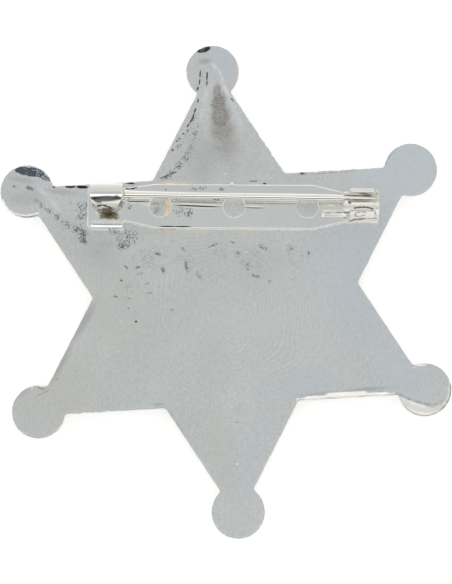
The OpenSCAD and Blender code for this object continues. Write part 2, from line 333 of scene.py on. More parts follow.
@dataclass
class Sheet:
    """A stamped sheet: it lies between two height fields inside its loops, with rounded rims."""

    loops: list[Array]
    top: Height
    bottom: Height
    top_round: float
    bottom_round: float
    spacing: float
    bottom_spacing: float = 0.0
    bottom_lines: list[Array] = field(default_factory=list)
    steps: int = 4

    def build(self, place: Placer) -> Shell:
        """Makes the sheet's surface.

        Args:
            place: Takes points and normals from the flat sheet to the star's frame.

        Returns:
            The closed surface.
        """
        count = sum(len(loop) for loop in self.loops)
        rings = self._rim()
        points = [ring for ring, _ in rings]
        normals = [normal for _, normal in rings]
        faces = []
        first = 0
        for loop in self.loops:
            n = len(loop)
            for r in range(len(rings) - 1):
                low, high = r * count + first, (r + 1) * count + first
                faces += [(low + i, low + (i + 1) % n, high + (i + 1) % n, high + i) for i in range(n)]
            first += n
        total = count * len(rings)
        for top in (False, True):
            ring = rings[-1 if top else 0][0]
            start = (len(rings) - 1) * count if top else 0
            more, triangles = self._cap(ring[:, :2], start, total, top)
            heights = self.top if top else self.bottom
            points.append(np.column_stack((more, heights(more))))
            normals.append(self._slope(more, heights) * (1 if top else -1))
            faces += triangles
            total += len(more)
        placed, turned = place(np.vstack(points), np.vstack(normals))
        return Shell(placed, turned, faces)

    def _slope(self, points: Array, heights: Height) -> Array:
        """The upward normals of a height field.

        Args:
            points: The places on the flat sheet.
            heights: The height field.

        Returns:
            The normal at each place.
        """
        step = 0.015
        across = (heights(points + [step, 0]) - heights(points - [step, 0])) / (2 * step)
        along = (heights(points + [0, step]) - heights(points - [0, step])) / (2 * step)
        normals = np.column_stack((-across, -along, np.ones(len(points))))
        return normals / np.linalg.norm(normals, axis=1)[:, None]

    def _rim(self) -> list[tuple[Array, Array]]:
        """Rounds the sheet's edges.

        Returns:
            Rings of points and normals round every loop, from the bottom face to the top face.
        """
        outs, mitres = zip(*(side_normals(loop) for loop in self.loops))
        loop, out, mitre = np.vstack(self.loops), np.vstack(outs), np.concatenate(mitres)
        turns = np.linspace(0, math.pi / 2, self.steps + 1)
        rings = []
        for top in (False, True):
            heights, radius, sign = self.bottom, self.bottom_round, -1
            if top:
                heights, radius, sign = self.top, self.top_round, 1
            for turn in (turns[::-1] if top else turns):
                inset = radius * (1 - math.sin(turn))
                drop = radius * (1 - math.cos(turn))
                flat = loop - out * (mitre * inset)[:, None]
                up = self._slope(flat, heights) * sign
                outward = np.column_stack((out, np.zeros(len(out))))
                ring = np.column_stack((flat, heights(flat) - sign * drop))
                rings.append((ring, outward * math.sin(turn) + up * math.cos(turn)))
        return rings

    def _cap(self, edge: Array, first: int, total: int, top: bool) -> tuple[Array, list[tuple[int, ...]]]:
        """Fills a face of the sheet with triangles.

        Args:
            edge: The points of the face's edge, loop after loop.
            first: The number of the edge's first point in the mesh.
            total: How many points the mesh has so far.
            top: Whether this is the top face.

        Returns:
            The new points inside the face, and the triangles.
        """
        spacing = self.spacing if top else (self.bottom_spacing or self.spacing)
        lines = [] if top else self.bottom_lines
        loops, edges, at = [], [], 0
        for loop in self.loops:
            n = len(loop)
            loops.append(edge[at:at + n])
            edges += [(at + i, at + (i + 1) % n) for i in range(n)]
            at += n
        known = [edge]
        for line in lines:
            edges += [(at + i, at + (i + 1) % len(line)) for i in range(len(line))]
            known.append(line)
            at += len(line)
        known = np.vstack(known)
        coords = np.vstack((known, self._grid(known, loops, spacing)))
        result = delaunay_2d_cdt([Vector(p) for p in coords.tolist()], edges, [], 0, 1e-7, True)
        flat = np.array([tuple(p) for p in result[0]])
        numbers, extra = [], []
        for i, source in enumerate(result[3]):
            if source and min(source) < len(edge):
                numbers.append(first + min(source))
            else:
                numbers.append(total + len(extra))
                extra.append(flat[i])
        triangles = np.array(result[2])
        triangles = triangles[inside(flat[triangles].mean(axis=1), loops)]
        a, b, c = (flat[triangles[:, k]] for k in range(3))
        area = (b[:, 0] - a[:, 0]) * (c[:, 1] - a[:, 1]) - (b[:, 1] - a[:, 1]) * (c[:, 0] - a[:, 0])
        faces = []
        for triangle, twice in zip(triangles, area):
            corners = [numbers[k] for k in triangle]
            faces.append(tuple(corners if (twice > 0) == top else corners[::-1]))
        return np.array(extra).reshape(-1, 2), faces

    def _grid(self, known: Array, loops: list[Array], spacing: float) -> Array:
        """Spreads points evenly inside a face, clear of those that it already has.

        Args:
            known: The points that it already has.
            loops: The loops that bound it.
            spacing: How far apart the new points lie.

        Returns:
            The new points.
        """
        low, high = known.min(axis=0), known.max(axis=0)
        rows = np.arange(low[1], high[1], spacing * math.sqrt(3) / 2)
        columns = np.arange(low[0], high[0], spacing)
        grid = np.array([(x + spacing / 2 * (k % 2), y) for k, y in enumerate(rows) for x in columns])
        if len(grid):
            grid = grid[inside(grid, loops)]
        tree = KDTree(len(known))
        for i, point in enumerate(known):
            tree.insert((point[0], point[1], 0), i)
        tree.balance()
        clear = [tree.find((x, y, 0))[2] > 0.6 * spacing for x, y in grid]
        return grid[np.array(clear, bool)] if len(grid) else np.zeros((0, 2))


@dataclass
class Fold:
    """The line along which a flat sheet is folded, seen along the bar, in v and w."""

    start: tuple[float, float]
    heading: float
    legs: list[tuple[float, float]]

    @property
    def length(self) -> float:
        """The whole length of the line."""
        return sum(length for length, _ in self.legs)

    def follow(self, s: Array) -> tuple[Array, Array]:
        """The places along the line and the headings there.

        Args:
            s: Distances from the line's start.

        Returns:
            The places as rows of v and w, and the headings in radians.
        """
        place = np.zeros((len(s), 2))
        heading = np.zeros(len(s))
        at, way, done = np.array(self.start, float), math.radians(self.heading), 0.0
        for number, (length, turn) in enumerate(self.legs):
            bend = math.radians(turn) / length
            last = number == len(self.legs) - 1
            here = (s >= done if number else s > -math.inf) & ((s < done + length) | last)
            t = s[here] - done
            place[here] = at + self._leg(way, bend, t)
            heading[here] = way + bend * t
            at = at + self._leg(way, bend, np.array([length]))[0]
            way += bend * length
            done += length
        return place, heading

    def _leg(self, way: float, bend: float, t: Array) -> Array:
        """Follows a leg of constant bend.

        Args:
            way: The heading at its start in radians.
            bend: The turn for each millimetre.
            t: Distances from its start.

        Returns:
            How far from its start the places lie, as rows of v and w.
        """
        if abs(bend) < 1e-9:
            return np.outer(t, (math.cos(way), math.sin(way)))
        turned = way + bend * t
        return np.column_stack((np.sin(turned) - math.sin(way), math.cos(way) - np.cos(turned))) / bend

    def v_at(self, s: Array) -> Array:
        """The place across the bar at each distance along the line."""
        return self.follow(s)[0][:, 0]

    def place(self, points: Array, normals: Array) -> tuple[Array, Array]:
        """Folds a flat sheet, whose x runs along this line and whose y runs along the bar.

        Args:
            points: The flat sheet's points.
            normals: Its normals.

        Returns:
            Both in the star's frame.
        """
        at, heading = self.follow(points[:, 0])
        out = np.column_stack((np.sin(heading), -np.cos(heading)))
        way = np.column_stack((np.cos(heading), np.sin(heading)))
        across = at + out * points[:, 2:3]
        turned = way * normals[:, 0:1] + out * normals[:, 2:3]
        return BAR.to_star(np.column_stack((points[:, 1], across)), np.column_stack((normals[:, 1], turned)))


@dataclass(frozen=True)
class BarFrame:
    """Where the bar's frame lies on the star."""

    x: float = 1.63
    y: float = 10.03
    z: float = 1.75
    turn: float = math.radians(-3.65)

    def to_star(self, points: Array, normals: Array) -> tuple[Array, Array]:
        """Takes points and normals from the bar's frame to the star's.

        Args:
            points: The points as rows of u, v and w.
            normals: Their normals.

        Returns:
            Both in the star's frame.
        """
        turned = np.eye(3)
        turned[:2, :2] = spin(self.turn)
        return points @ turned + [self.x, self.y, self.z], normals @ turned


BAR = BarFrame()


def ribbon(fold: Fold, loops: list[Array], thickness: float, round_r: float, spacing: float) -> Shell:
    """A strip of sheet that is folded along a line.

    Args:
        fold: The line.
        loops: The strip's outline, laid flat, and its holes.
        thickness: The sheet's thickness.
        round_r: How much its edges are rounded.
        spacing: How far apart the points inside it lie.

    Returns:
        The closed surface.
    """
    half = thickness / 2
    return Sheet(loops, level(half), level(-half), round_r, round_r, spacing).build(fold.place)


def lathe(profile: list[tuple[float, float]], at: Array, axis: Array, steps: int) -> Shell:
    """Turns a profile round an axis in the bar's frame.

    Args:
        profile: Distances along the axis with the radius at each; both ends close on the axis.
        at: The axis's start.
        axis: Its direction.
        steps: How many sides the turned shape has.

    Returns:
        The closed surface.
    """
    axis = axis / np.linalg.norm(axis)
    side = np.cross(axis, [0.0, 0.0, 1.0] if abs(axis[2]) < 0.9 else [1.0, 0.0, 0.0])
    side /= np.linalg.norm(side)
    other = np.cross(axis, side)
    run = np.array(profile)
    slope = np.gradient(run, axis=0)
    slope /= np.linalg.norm(slope, axis=1)[:, None]
    angles = np.linspace(0, 2 * math.pi, steps, endpoint=False)
    points, normals, faces = [at + axis * run[0, 0]], [-axis], []
    inner = run[1:-1]
    for (along, radius), (lean, rise) in zip(inner, slope[1:-1]):
        for angle in angles:
            out = side * math.cos(angle) + other * math.sin(angle)
            points.append(at + axis * along + out * radius)
            normals.append(out * lean - axis * rise)
    points.append(at + axis * run[-1, 0])
    normals.append(axis)
    last = len(points) - 1
    for k in range(steps):
        n = (k + 1) % steps
        faces.append((0, 1 + n, 1 + k))
        for r in range(len(inner) - 1):
            low, high = 1 + r * steps, 1 + (r + 1) * steps
            faces.append((low + k, low + n, high + n, high + k))
        high = 1 + (len(inner) - 1) * steps
        faces.append((high + k, high + n, last))
    placed, turned = BAR.to_star(np.array(points), np.array(normals))
    return Shell(placed, turned, faces)


class Signal:
    """A socket of a shader tree. An expression on signals adds the nodes that work it out."""

    def __init__(self, tree: "Tree", socket: bpy.types.NodeSocket) -> None:
        """Wraps one output socket of the tree."""
        self.tree = tree
        self.socket = socket

    def _math(self, operation: str, *values: "Signal | float") -> "Signal":
        """Adds a Math node for the operation on the values."""
        return self.tree.node("ShaderNodeMath", {"operation": operation}, dict(enumerate(values)))

    def __add__(self, other: "Signal | float") -> "Signal":
        """The sum."""
        return self._math("ADD", self, other)

    __radd__ = __add__

    def __sub__(self, other: "Signal | float") -> "Signal":
        """The difference."""
        return self._math("SUBTRACT", self, other)

    def __rsub__(self, other: "Signal | float") -> "Signal":
        """The difference from a number."""
        return self._math("SUBTRACT", other, self)

    def __mul__(self, other: "Signal | float") -> "Signal":
        """The product."""
        return self._math("MULTIPLY", self, other)

    __rmul__ = __mul__

    def sine(self) -> "Signal":
        """The sine."""
        return self._math("SINE", self)

    def most(self, other: "Signal | float") -> "Signal":
        """The greater of two."""
        return self._math("MAXIMUM", self, other)

    def angle(self, other: "Signal") -> "Signal":
        """The angle in degrees whose tangent is this over the other."""
        return self._math("ARCTAN2", self, other) * (180 / math.pi)

    def ease(self, low: float, high: float) -> "Signal":
        """Eases between two values.

        Args:
            low: Where the result is 0; it may lie above high.
            high: Where the result is 1.

        Returns:
            The eased signal.
        """
        settings = {"interpolation_type": "SMOOTHSTEP"}
        inputs = {"Value": self, "From Min": low, "From Max": high}
        if low > high:
            inputs |= {"From Min": high, "From Max": low, "To Min": 1.0, "To Max": 0.0}
        return self.tree.node("ShaderNodeMapRange", settings, inputs)


class Tree:
    """A shader's node tree."""

    def __init__(self, tree: bpy.types.NodeTree) -> None:
        """Empties the tree."""
        self.tree = tree
        self.tree.nodes.clear()

    def node(self, kind: str, settings: dict | None = None, inputs: dict | None = None,
             out: int | str = 0) -> Signal:
        """Adds one node.

        Args:
            kind: The node's type.
            settings: What is set on the node first.
            inputs: The values or signals of its sockets, by name or number.
            out: The output that is used.

        Returns:
            The output as a signal.
        """
        made = self.tree.nodes.new(kind)
        for key, value in (settings or {}).items():
            if key == "texture_mapping":
                for part, setting in value.items():
                    setattr(made.texture_mapping, part, setting)
            else:
                setattr(made, key, value)
        for key, value in (inputs or {}).items():
            if isinstance(value, Signal):
                self.tree.links.new(value.socket, made.inputs[key])
            else:
                made.inputs[key].default_value = value
        return Signal(self, made.outputs[out] if made.outputs else None)

    def vector(self, operation: str, *values: Signal | tuple, out: int | str = 0) -> Signal:
        """Adds a Vector Math node for the operation on the values."""
        return self.node("ShaderNodeVectorMath", {"operation": operation}, dict(enumerate(values)), out)

    def mix(self, factor: Signal | float, a: Signal | tuple, b: Signal | tuple, blend: str = "MIX") -> Signal:
        """Mixes two colours, each a signal or a tuple of three.

        Args:
            factor: How much of the second colour there is.
            a: The first colour.
            b: The second colour.
            blend: How they mix.

        Returns:
            The mixed colour.
        """
        first, second, output = 6, 7, 2
        a = a if isinstance(a, Signal) else (*a, 1)
        b = b if isinstance(b, Signal) else (*b, 1)
        settings = {"data_type": "RGBA", "blend_type": blend}
        return self.node("ShaderNodeMix", settings, {0: factor, first: a, second: b}, output)

    def noise(self, where: Signal, scale: float, detail: float = 2.0, rough: float = 0.5) -> Signal:
        """Adds a Noise texture and gives its value."""
        inputs = {"Vector": where, "Scale": scale, "Detail": detail, "Roughness": rough}
        return self.node("ShaderNodeTexNoise", None, inputs)

    def scaled(self, colour: Signal, factor: Signal | float) -> Signal:
        """A colour or vector times a factor."""
        return self.node("ShaderNodeVectorMath", {"operation": "SCALE"}, {0: colour, "Scale": factor})

    def millimetres(self) -> Signal:
        """The place on the piece, in millimetres of the star's frame."""
        place = self.node("ShaderNodeTexCoord", None, None, "Object")
        return self.scaled(place, 1 / MM)

    def surface(self, inputs: dict) -> None:
        """Ends the tree with a Principled shader."""
        shader = self.node("ShaderNodeBsdfPrincipled", None, inputs)
        self.node("ShaderNodeOutputMaterial", None, {"Surface": shader})

    def patch(self, where: Signal, mark: "Mark") -> Signal:
        """A soft ellipse.

        Args:
            where: The place on the piece in millimetres.
            mark: The mark that it draws.

        Returns:
            The mark's strength in its middle and 0 from its rim.
        """
        spot = PHOTO.spot(mark.x, mark.y)
        mapping = {
            "vector_type": "TEXTURE",
            "translation": (spot[0], spot[1], BAR.z),
            "rotation": (0, 0, math.radians(mark.turn) - PHOTO.turn),
            "scale": (PHOTO.length(mark.long), PHOTO.length(mark.wide), 1e3),
        }
        settings = {"gradient_type": "SPHERICAL", "texture_mapping": mapping}
        ball = self.node("ShaderNodeTexGradient", settings, {"Vector": where}, "Fac")
        inputs = {"Value": ball, "From Min": 0.0, "From Max": 1 - mark.core, "To Max": mark.strength}
        return self.node("ShaderNodeMapRange", {"interpolation_type": "SMOOTHSTEP"}, inputs)


def new_material(name: str) -> tuple[bpy.types.Material, Tree]:
    """Makes a material.

    Args:
        name: The material's name.

    Returns:
        The material and its emptied tree.
    """
    material = bpy.data.materials.new(name)
    material.use_nodes = True
    return material, Tree(material.node_tree)


@dataclass(frozen=True)
class Mark:
    """A mark on the plating, or a patch of painted highlight, reflection or shade, placed by the photograph's
    pixels.
    """

    x: float
    y: float
    long: float
    wide: float
    turn: float = 0.0
    strength: float = 1.0
    core: float = 0.1


def streak(points: tuple[Pixel, ...], wide: float, start: float, stop: float,
           core: float = 0.4) -> tuple[Mark, ...]:
    """Marks that follow a line of pixels.

    Args:
        points: The line's pixels.
        wide: The streak's width in pixels.
        start: Its strength at the first pixel.
        stop: Its strength at the last one.
        core: How much of each mark has its full strength.

    Returns:
        One mark for each stretch of the line.
    """
    marks = []
    for number, ((ax, ay), (bx, by)) in enumerate(zip(points, points[1:])):
        share = (number + 0.5) / (len(points) - 1)
        reach = 0.65 * math.hypot(bx - ax, by - ay) + 0.3 * wide
        turn = math.degrees(math.atan2(ay - by, bx - ax))
        strength = start + (stop - start) * share
        marks.append(Mark((ax + bx) / 2, (ay + by) / 2, reach, wide / 2, turn, strength, core))
    return tuple(marks)


@dataclass(frozen=True)
class MarkGroup:
    """Marks that share a colour and a grain."""

    name: str
    tint: Triple
    marks: tuple[Mark, ...]
    grain: Grain = Grain.SMOOTH
    scale: float = 5.0
    rough: float = 0.12
    metal: float = 1.0
    depth: float = 1.0
    cloud: float = 2.0
    stretch: Triple = (0.8, 1.3, 1.0)


STAR_MARKS = (
    # Painted reflection tints: pale blue on the upper right disc, cooler and warmer casts elsewhere on the
    # star.
    MarkGroup("pale_blue_reflection", (0.735, 0.79, 0.84), (
        Mark(400, 168, 70, 60, 0, 0.85, 0.3),
    )),
    MarkGroup("cool_reflection_tint", (0.685, 0.745, 0.815), (
        Mark(360, 280, 70, 130, 20, 0.6), Mark(400, 372, 60, 34, -30, 0.5),
        Mark(252, 452, 14, 74, -14, 0.36, 0.2), Mark(300, 385, 60, 22, 10, 0.5),
        Mark(222, 60, 24, 30, 0, 0.6, 0.2), Mark(120, 315, 40, 20, 10, 0.35, 0),
    )),
    MarkGroup("warm_reflection_tint", (0.71, 0.705, 0.65), (
        Mark(60, 385, 90, 60, 30, 0.7, 0), Mark(222, 452, 17, 74, 10, 0.42, 0.2),
        Mark(110, 310, 70, 90, 10, 0.5), Mark(240, 409, 12, 11, 0, 0.7, 0.2),
        Mark(100, 250, 20, 24, 0, 0.6),
    )),
    # Painted shade, greyer: along edges and creases, above the lower right crescent's line and over a few
    # broad faint patches.
    MarkGroup("edge_shade", (0.50, 0.52, 0.54), (
        Mark(98, 250, 46, 34, -35, 0.34, 0), Mark(150, 225, 60, 16, 0, 0.22, 0),
        Mark(205, 160, 22, 40, 0, 0.28, 0), *streak(((95, 302), (71, 343), (48, 385)), 15, 0.75, 0.7, 0.1),
        *streak(((165, 408), (189, 447), (211, 486)), 10, 0.65, 0.7, 0.1),
        *streak(((298, 396), (340, 392), (392, 387)), 7, 0.3, 0.75, 0.1),
        *streak(((397, 393.6), (404, 397.2), (413, 400.6), (423, 403.6), (432, 405)), 4.6, 0.9, 0.8, 0.2),
        *streak(((432, 405), (439, 403.4), (444, 399)), 3.4, 0.7, 0.3, 0.1),
        Mark(158, 404.6, 9, 3.2, 4, 0.55), *streak(((168, 411), (175, 421)), 5, 0.5, 0.4, 0.1),
        *streak(((305, 397.6), (316, 395), (328, 392.4)), 3, 0.6, 0.6, 0.2),
        *streak(((374, 391.8), (389, 392.2)), 3, 0.7, 0.7, 0.2), Mark(205, 61, 9, 4.6, 5, 0.75, 0.2),
        Mark(22, 180, 20, 5, -10, 0.5), Mark(62, 192, 26, 5, -6, 0.55), Mark(22, 390, 9, 20, -50, 0.4),
        Mark(36, 200, 5, 3.2, -35, 0.6), Mark(26, 199, 26, 12, 0, 0.36, 0.2), Mark(90, 245, 44, 34, 0, 0.2),
    )),
    # Painted shade along the lower right arm's rolled lower edge.
    MarkGroup("rolled_edge_shade", (0.60, 0.59, 0.56), (
        *streak(((312, 398), (342, 394.8), (378, 393.8)), 6, 0.8, 0.8, 0.5),
    )),
    # Painted reflection: a dark brown band down the right slope of the top arm's valley.
    MarkGroup("valley_dark_reflection", (0.235, 0.21, 0.185), (
        Mark(217, 92, 12, 6, 84, 0.84, 0.4), Mark(218.8, 104, 17, 9.5, 86, 0.96, 0.5),
        Mark(220.5, 117, 18, 13, 84, 0.94, 0.45), Mark(222.5, 131, 19, 18, 80, 0.78, 0.3),
        Mark(225, 145, 22, 23, 80, 0.56, 0),
    ), Grain.HAZY, 4.6),
    MarkGroup("dark_speckle", (0.11, 0.12, 0.135), (
        *streak(((197, 112), (191, 126), (183, 140), (176, 150)), 7, 0.60, 0.52, 0),
        *streak(((198, 122), (192, 142), (187, 156)), 12, 0.52, 0.78, 0),
        *streak(((188, 152), (183, 162), (176, 170), (166, 177)), 15, 0.76, 0.78, 0),
        Mark(167, 176.6, 13, 5, 26, 0.72), Mark(128, 238, 25, 17, 8, 0.62), Mark(124, 245, 13, 8, 20, 0.95),
        Mark(130, 236, 12, 10, 0, 0.72, 0), Mark(114, 231, 12, 9, -30, 0.72, 0),
        Mark(82, 210, 12, 17, 0, 0.70, 0), Mark(80.5, 217, 8, 6, 30, 0.76), Mark(79, 229, 13, 7, -34, 0.82),
        Mark(82.4, 235, 8, 13, 0, 1.02), Mark(84, 240, 4, 7, 20, 1.1, 0.2),
        *streak(((38, 203), (46.4, 208.9), (53, 213.9), (61.4, 219.7), (71.3, 227.2),
                (80, 234)), 13, 0.58, 0.74, 0),
        *streak(((44.4, 208.2), (53, 213.9), (61.4, 219.7), (66, 224)), 6.4, 0.92, 0.8, 0.1),
        Mark(70.9, 202.9, 3.6, 2.4, -30, 0.6), Mark(56.8, 198.1, 3, 2.2, -30, 0.6),
        Mark(14.1, 186.4, 3.4, 2.4, -20, 0.9, 0.3), Mark(29.9, 188.2, 7.4, 4.2, -22, 0.85, 0.2),
        Mark(29, 187.8, 3.6, 2.2, -22, 1.1, 0.4), Mark(36.5, 200.2, 6, 3.8, -38, 0.65),
    ), Grain.DOTTED, 6.2, depth=0.95, cloud=1.6),
    MarkGroup("worn_field", (0.20, 0.205, 0.21), (
        Mark(150, 259, 40, 26, 4, 0.42), Mark(186, 262, 26, 26, 0, 0.44), Mark(216, 254, 30, 20, 10, 0.38),
        Mark(250, 260, 32, 26, 0, 0.46), Mark(292, 258, 32, 22, 0, 0.38),
        Mark(128, 288, 32, 22, 30, 0.36, 0), Mark(120, 238, 40, 24, 10, 0.42, 0),
        Mark(80, 216, 22, 26, -30, 0.42, 0), Mark(190, 150, 24, 44, 0, 0.34, 0),
        Mark(226, 160, 34, 34, 0, 0.30, 0),
    ), Grain.SPECKLED, 5.0, depth=0.55, cloud=0.8),
    MarkGroup("hatched_field", (0.27, 0.27, 0.27), (
        Mark(200, 166, 52, 26, 84, 0.20, 0), Mark(232, 168, 44, 26, 90, 0.12, 0),
        Mark(226, 255, 90, 34, 0, 0.10, 0.2),
    ), Grain.HAZY, 4.4),
    MarkGroup("hole_stain", (0.34, 0.32, 0.35), (
        Mark(157, 210, 8, 5.5, 0, 0.9, 0.2), Mark(156, 203.6, 7, 1.6, 0, 0.9, 0.2),
    ), Grain.DOTTED, 4.4, depth=0.8),
    MarkGroup("flux_haze", (0.72, 0.68, 0.54), (
        *streak(((146, 229.6), (176, 231), (222, 231), (266, 231.4)), 6, 0.75, 0.6, 0.2),
        *streak(((160, 182.4), (190, 182)), 5, 0.7, 0.6, 0.2),
    ), Grain.HAZY, 4.0),
    MarkGroup("scuffs", (0.13, 0.13, 0.15), (
        Mark(126, 267, 5, 2, -58, 0.95, 0.2), Mark(137.5, 267.5, 5, 2.6, 20, 0.9, 0.2),
        Mark(139.3, 273.8, 7, 2.2, 15, 0.8), Mark(158, 254, 8, 3, -15, 0.9),
        Mark(163, 270, 10, 4, -72, 0.85), Mark(183, 249, 6, 3.4, -40, 0.9),
        Mark(187, 266, 12, 4, -84, 0.85), Mark(199, 276, 9, 4.4, -60, 0.8, 0),
        Mark(214, 245, 13, 2.2, 22, 0.8, 0), Mark(232, 242, 6, 2.2, -18, 0.9),
        Mark(238, 254, 7, 7, 0, 0.66, 0), Mark(263, 247, 11, 6, -20, 0.76, 0),
        Mark(248, 266, 4, 10, 4, 0.7, 0), Mark(256, 276, 12, 4, -12, 0.8, 0),
        Mark(270, 281, 7, 3, 60, 0.75, 0), Mark(290, 249, 8, 6, -30, 0.76, 0),
        Mark(309, 254, 3, 6, 10, 0.85, 0), Mark(293, 280, 3.4, 2.4, 0, 0.8, 0),
        Mark(146.4, 284, 6, 2, 16, 0.85), Mark(149, 293, 7, 1.8, 8, 0.85),
        Mark(115.6, 296.6, 5, 2, -10, 0.9), Mark(126.5, 298, 8, 1.8, -12, 0.85),
    ), Grain.SPECKLED, 5.4, depth=0.8, cloud=3.0),
    MarkGroup("dots", (0.07, 0.075, 0.085), (
        Mark(136, 321.6, 1.8, 1.8, 0, 0.95, 0.3), Mark(121.4, 280.5, 1.8, 1.4, -30, 0.85, 0.3),
        Mark(128.6, 308.2, 1.5, 1.2, 0, 0.6, 0.2), Mark(171.9, 310, 2.6, 2, 0, 0.45, 0),
        Mark(57, 379, 2.2, 1.2, 20, 0.35, 0),
        *streak(((48.4, 390.6), (42.4, 393.2), (36.6, 396.3)), 2.2, 0.34, 0.24, 0.1),
        Mark(237.5, 422, 1.7, 1.2, 0, 0.45), Mark(182, 111, 1.8, 1.3, 0, 0.45, 0),
        Mark(211, 105, 1.8, 1.4, 0, 0.45, 0), Mark(183.4, 133.7, 1.8, 1.4, 30, 0.85, 0.2),
        Mark(179.5, 138.7, 1.7, 1.5, 30, 0.8, 0.2), Mark(177, 141, 2, 1.6, 30, 0.8, 0.2),
        Mark(172.6, 150, 2.2, 1.8, 30, 0.85, 0.2),
    )),
    MarkGroup("dashes", (0.07, 0.07, 0.08), (
        *streak(((200.4, 69.9), (199.9, 78.2), (199.2, 85.5)), 2, 0.86, 0.70),
        *streak(((207.3, 71), (207, 80.2), (206.4, 86.2)), 2.6, 1, 0.7),
        *streak(((198.6, 86.2), (196.4, 91.5)), 2.6, 0.85, 0.75, 0.3),
        *streak(((198.6, 98.4), (197.4, 102.8)), 2, 1.1, 1),
        *streak(((195.7, 108.2), (194.1, 113.5), (192.2, 118.5), (189.8, 123),
                (186.8, 127.4)), 2.2, 1.15, 0.9), *streak(((230.6, 98), (234, 101.8)), 2.2, 1, 0.9, 0.3),
        *streak(((160, 178.6), (169, 174.6), (177.5, 171.5)), 1.5, 1.1, 0.8),
        *streak(((247, 181.4), (263, 180.6)), 1.8, 0.85, 0.7, 0.2), Mark(303, 173.5, 7, 1.5, 6, 0.85),
        Mark(264.6, 183.6, 3, 1.3, 0, 1.1, 0.3), *streak(((86.6, 202), (86.4, 208)), 1.5, 0.9, 0.8, 0.2),
    ), Grain.BROKEN, 4.2),
    MarkGroup("navy_edge", (0.045, 0.07, 0.105), (
        Mark(24, 170.6, 10, 4.4, -3, 1.5, 0.8), Mark(35, 172.2, 12, 5, -12, 1.24, 0.8),
        Mark(45, 177.4, 8.8, 3.6, -26, 1, 0.6), Mark(31, 174, 15, 3.2, -7, 1.35, 0.6),
    ), Grain.DOTTED, 5.4, depth=0.93, cloud=1.2),
    MarkGroup("black_edge", (0.03, 0.034, 0.04), (
        Mark(204.2, 49.6, 8.8, 3.6, 16, 1, 0.6), Mark(201, 51.2, 6, 2.6, 4, 1, 0.5),
        Mark(207, 48.6, 4.4, 2.4, 14, 1.2, 0.5), Mark(70.5, 186.6, 6.6, 1.9, 0, 1.3, 0.6),
        Mark(82, 187, 7.6, 2, -2, 1.3, 0.6), Mark(54, 187, 2.6, 1.2, 0, 1.1, 0.4),
        Mark(130, 183.2, 6.6, 1.4, -4, 1.2, 0.5), Mark(131.5, 188.4, 6, 1.2, 4, 1.15, 0.5),
    ), Grain.SPECKLED, 8.0),
    # Painted highlights: light ridge lines on the top arm, light streaks, glints on the top disc's rim and
    # small light spots.
    MarkGroup("painted_highlights", (0.97, 0.975, 0.97), (
        *streak(((212, 63.5), (218.5, 69.4), (221.6, 76), (223.6, 83), (227.6, 94)), 4.5, 0.6, 0.5, 0.2),
        *streak(((229, 96), (236, 112), (243, 128)), 7, 0.25, 0.2, 0.1),
        *streak(((207, 88), (204, 104), (200, 122)), 7, 0.32, 0.28, 0.1),
        *streak(((38, 186), (48, 197), (60, 211)), 9, 0.30, 0.28, 0),
        *streak(((237.6, 62.5), (238.2, 72.3)), 2, 0.9, 0.9), Mark(46, 173.8, 2.6, 2.2, 0, 0.7),
        Mark(38, 172.6, 2.2, 1.2, -20, 0.35, 0), Mark(237.5, 464, 1.9, 1.7, 0, 1, 0.3),
        Mark(225.6, 174, 1.6, 1.3, 0, 0.8, 0.2), Mark(246.5, 252, 3.2, 1.2, -15, 0.6),
        Mark(109, 355.5, 2.4, 0.9, 0, 0.7), Mark(121, 320.6, 2.2, 1, 0, 0.7),
        Mark(118, 351, 2.2, 0.9, 0, 0.6), Mark(298, 271, 1.4, 1.4, 0, 0.5),
    )),
)

RIM_MARKS = (
    # Painted highlights along the rims of the discs and the lower right arm.
    MarkGroup("rim_highlight", (0.97, 0.97, 0.96), (
        *streak(((2.8, 199.4), (4.8, 204.8), (8.4, 209.6), (13.4, 213), (19.8, 215), (27, 215.4),
                (34, 214.2), (38.8, 212.8)), 2.4, 1, 0.95, 0.5),
        *streak(((300, 400.2), (330, 397.3), (362, 396), (397, 395.3)), 2.6, 0.8, 0.9),
        *streak(((447.4, 371), (449.6, 379), (450, 386)), 3, 0.7, 0.6, 0.2),
        Mark(421, 365, 7, 1.6, 4, 1, 0.3), *streak(((416, 366.4), (413.6, 368)), 1.6, 0.8, 0.6, 0.2),
        Mark(42.6, 385.6, 4.6, 1.6, 6, 0.95, 0.3), Mark(32, 387.4, 1.6, 1.4, 60, 0.9, 0.2),
    ), rough=0.2, metal=0.3),
    # Painted reflection: the pale beige of the lower right disc's bent crescent and its rim.
    MarkGroup("crescent_reflection", (0.76, 0.74, 0.70), (
        *streak(((402, 400.4), (411, 406.5), (422, 409.8), (433, 410.2), (441, 407.4)), 8, 0.9, 0.8),
        *streak(((441, 407.4), (446.4, 401.6), (448.8, 394), (449, 386)), 3.2, 0.8, 0.8),
    ), rough=0.2, metal=0.3),
    # Painted dark reflection: thin dark lines along the outer rims of the discs.
    MarkGroup("rim_dark_reflection", (0.10, 0.10, 0.105), (
        *streak(((1.4, 202), (3.4, 207.2), (7, 211.6), (12.4, 215), (19.2, 216.8), (27, 217.1),
                (34.6, 216)), 1.5, 0.62, 0.55),
        *streak(((450.6, 382), (450.8, 390), (449.6, 397.4), (446, 404.4),
                (440, 410.2)), 1.5, 0.75, 0.6, 0.3),
        *streak(((38, 387.2), (41, 388.8), (44.4, 389)), 1.3, 0.8, 0.9, 0.3),
    )),
    MarkGroup("rim_specks", (0.40, 0.40, 0.41), (
        Mark(326, 173.1, 58, 0.8, 4.6, 0.62, 0.3),
        *streak(((385, 166.4), (387.6, 160), (391.6, 154), (397, 149)), 1.6, 0.66, 0.66, 0.3),
    ), Grain.BROKEN, 4.6),
)

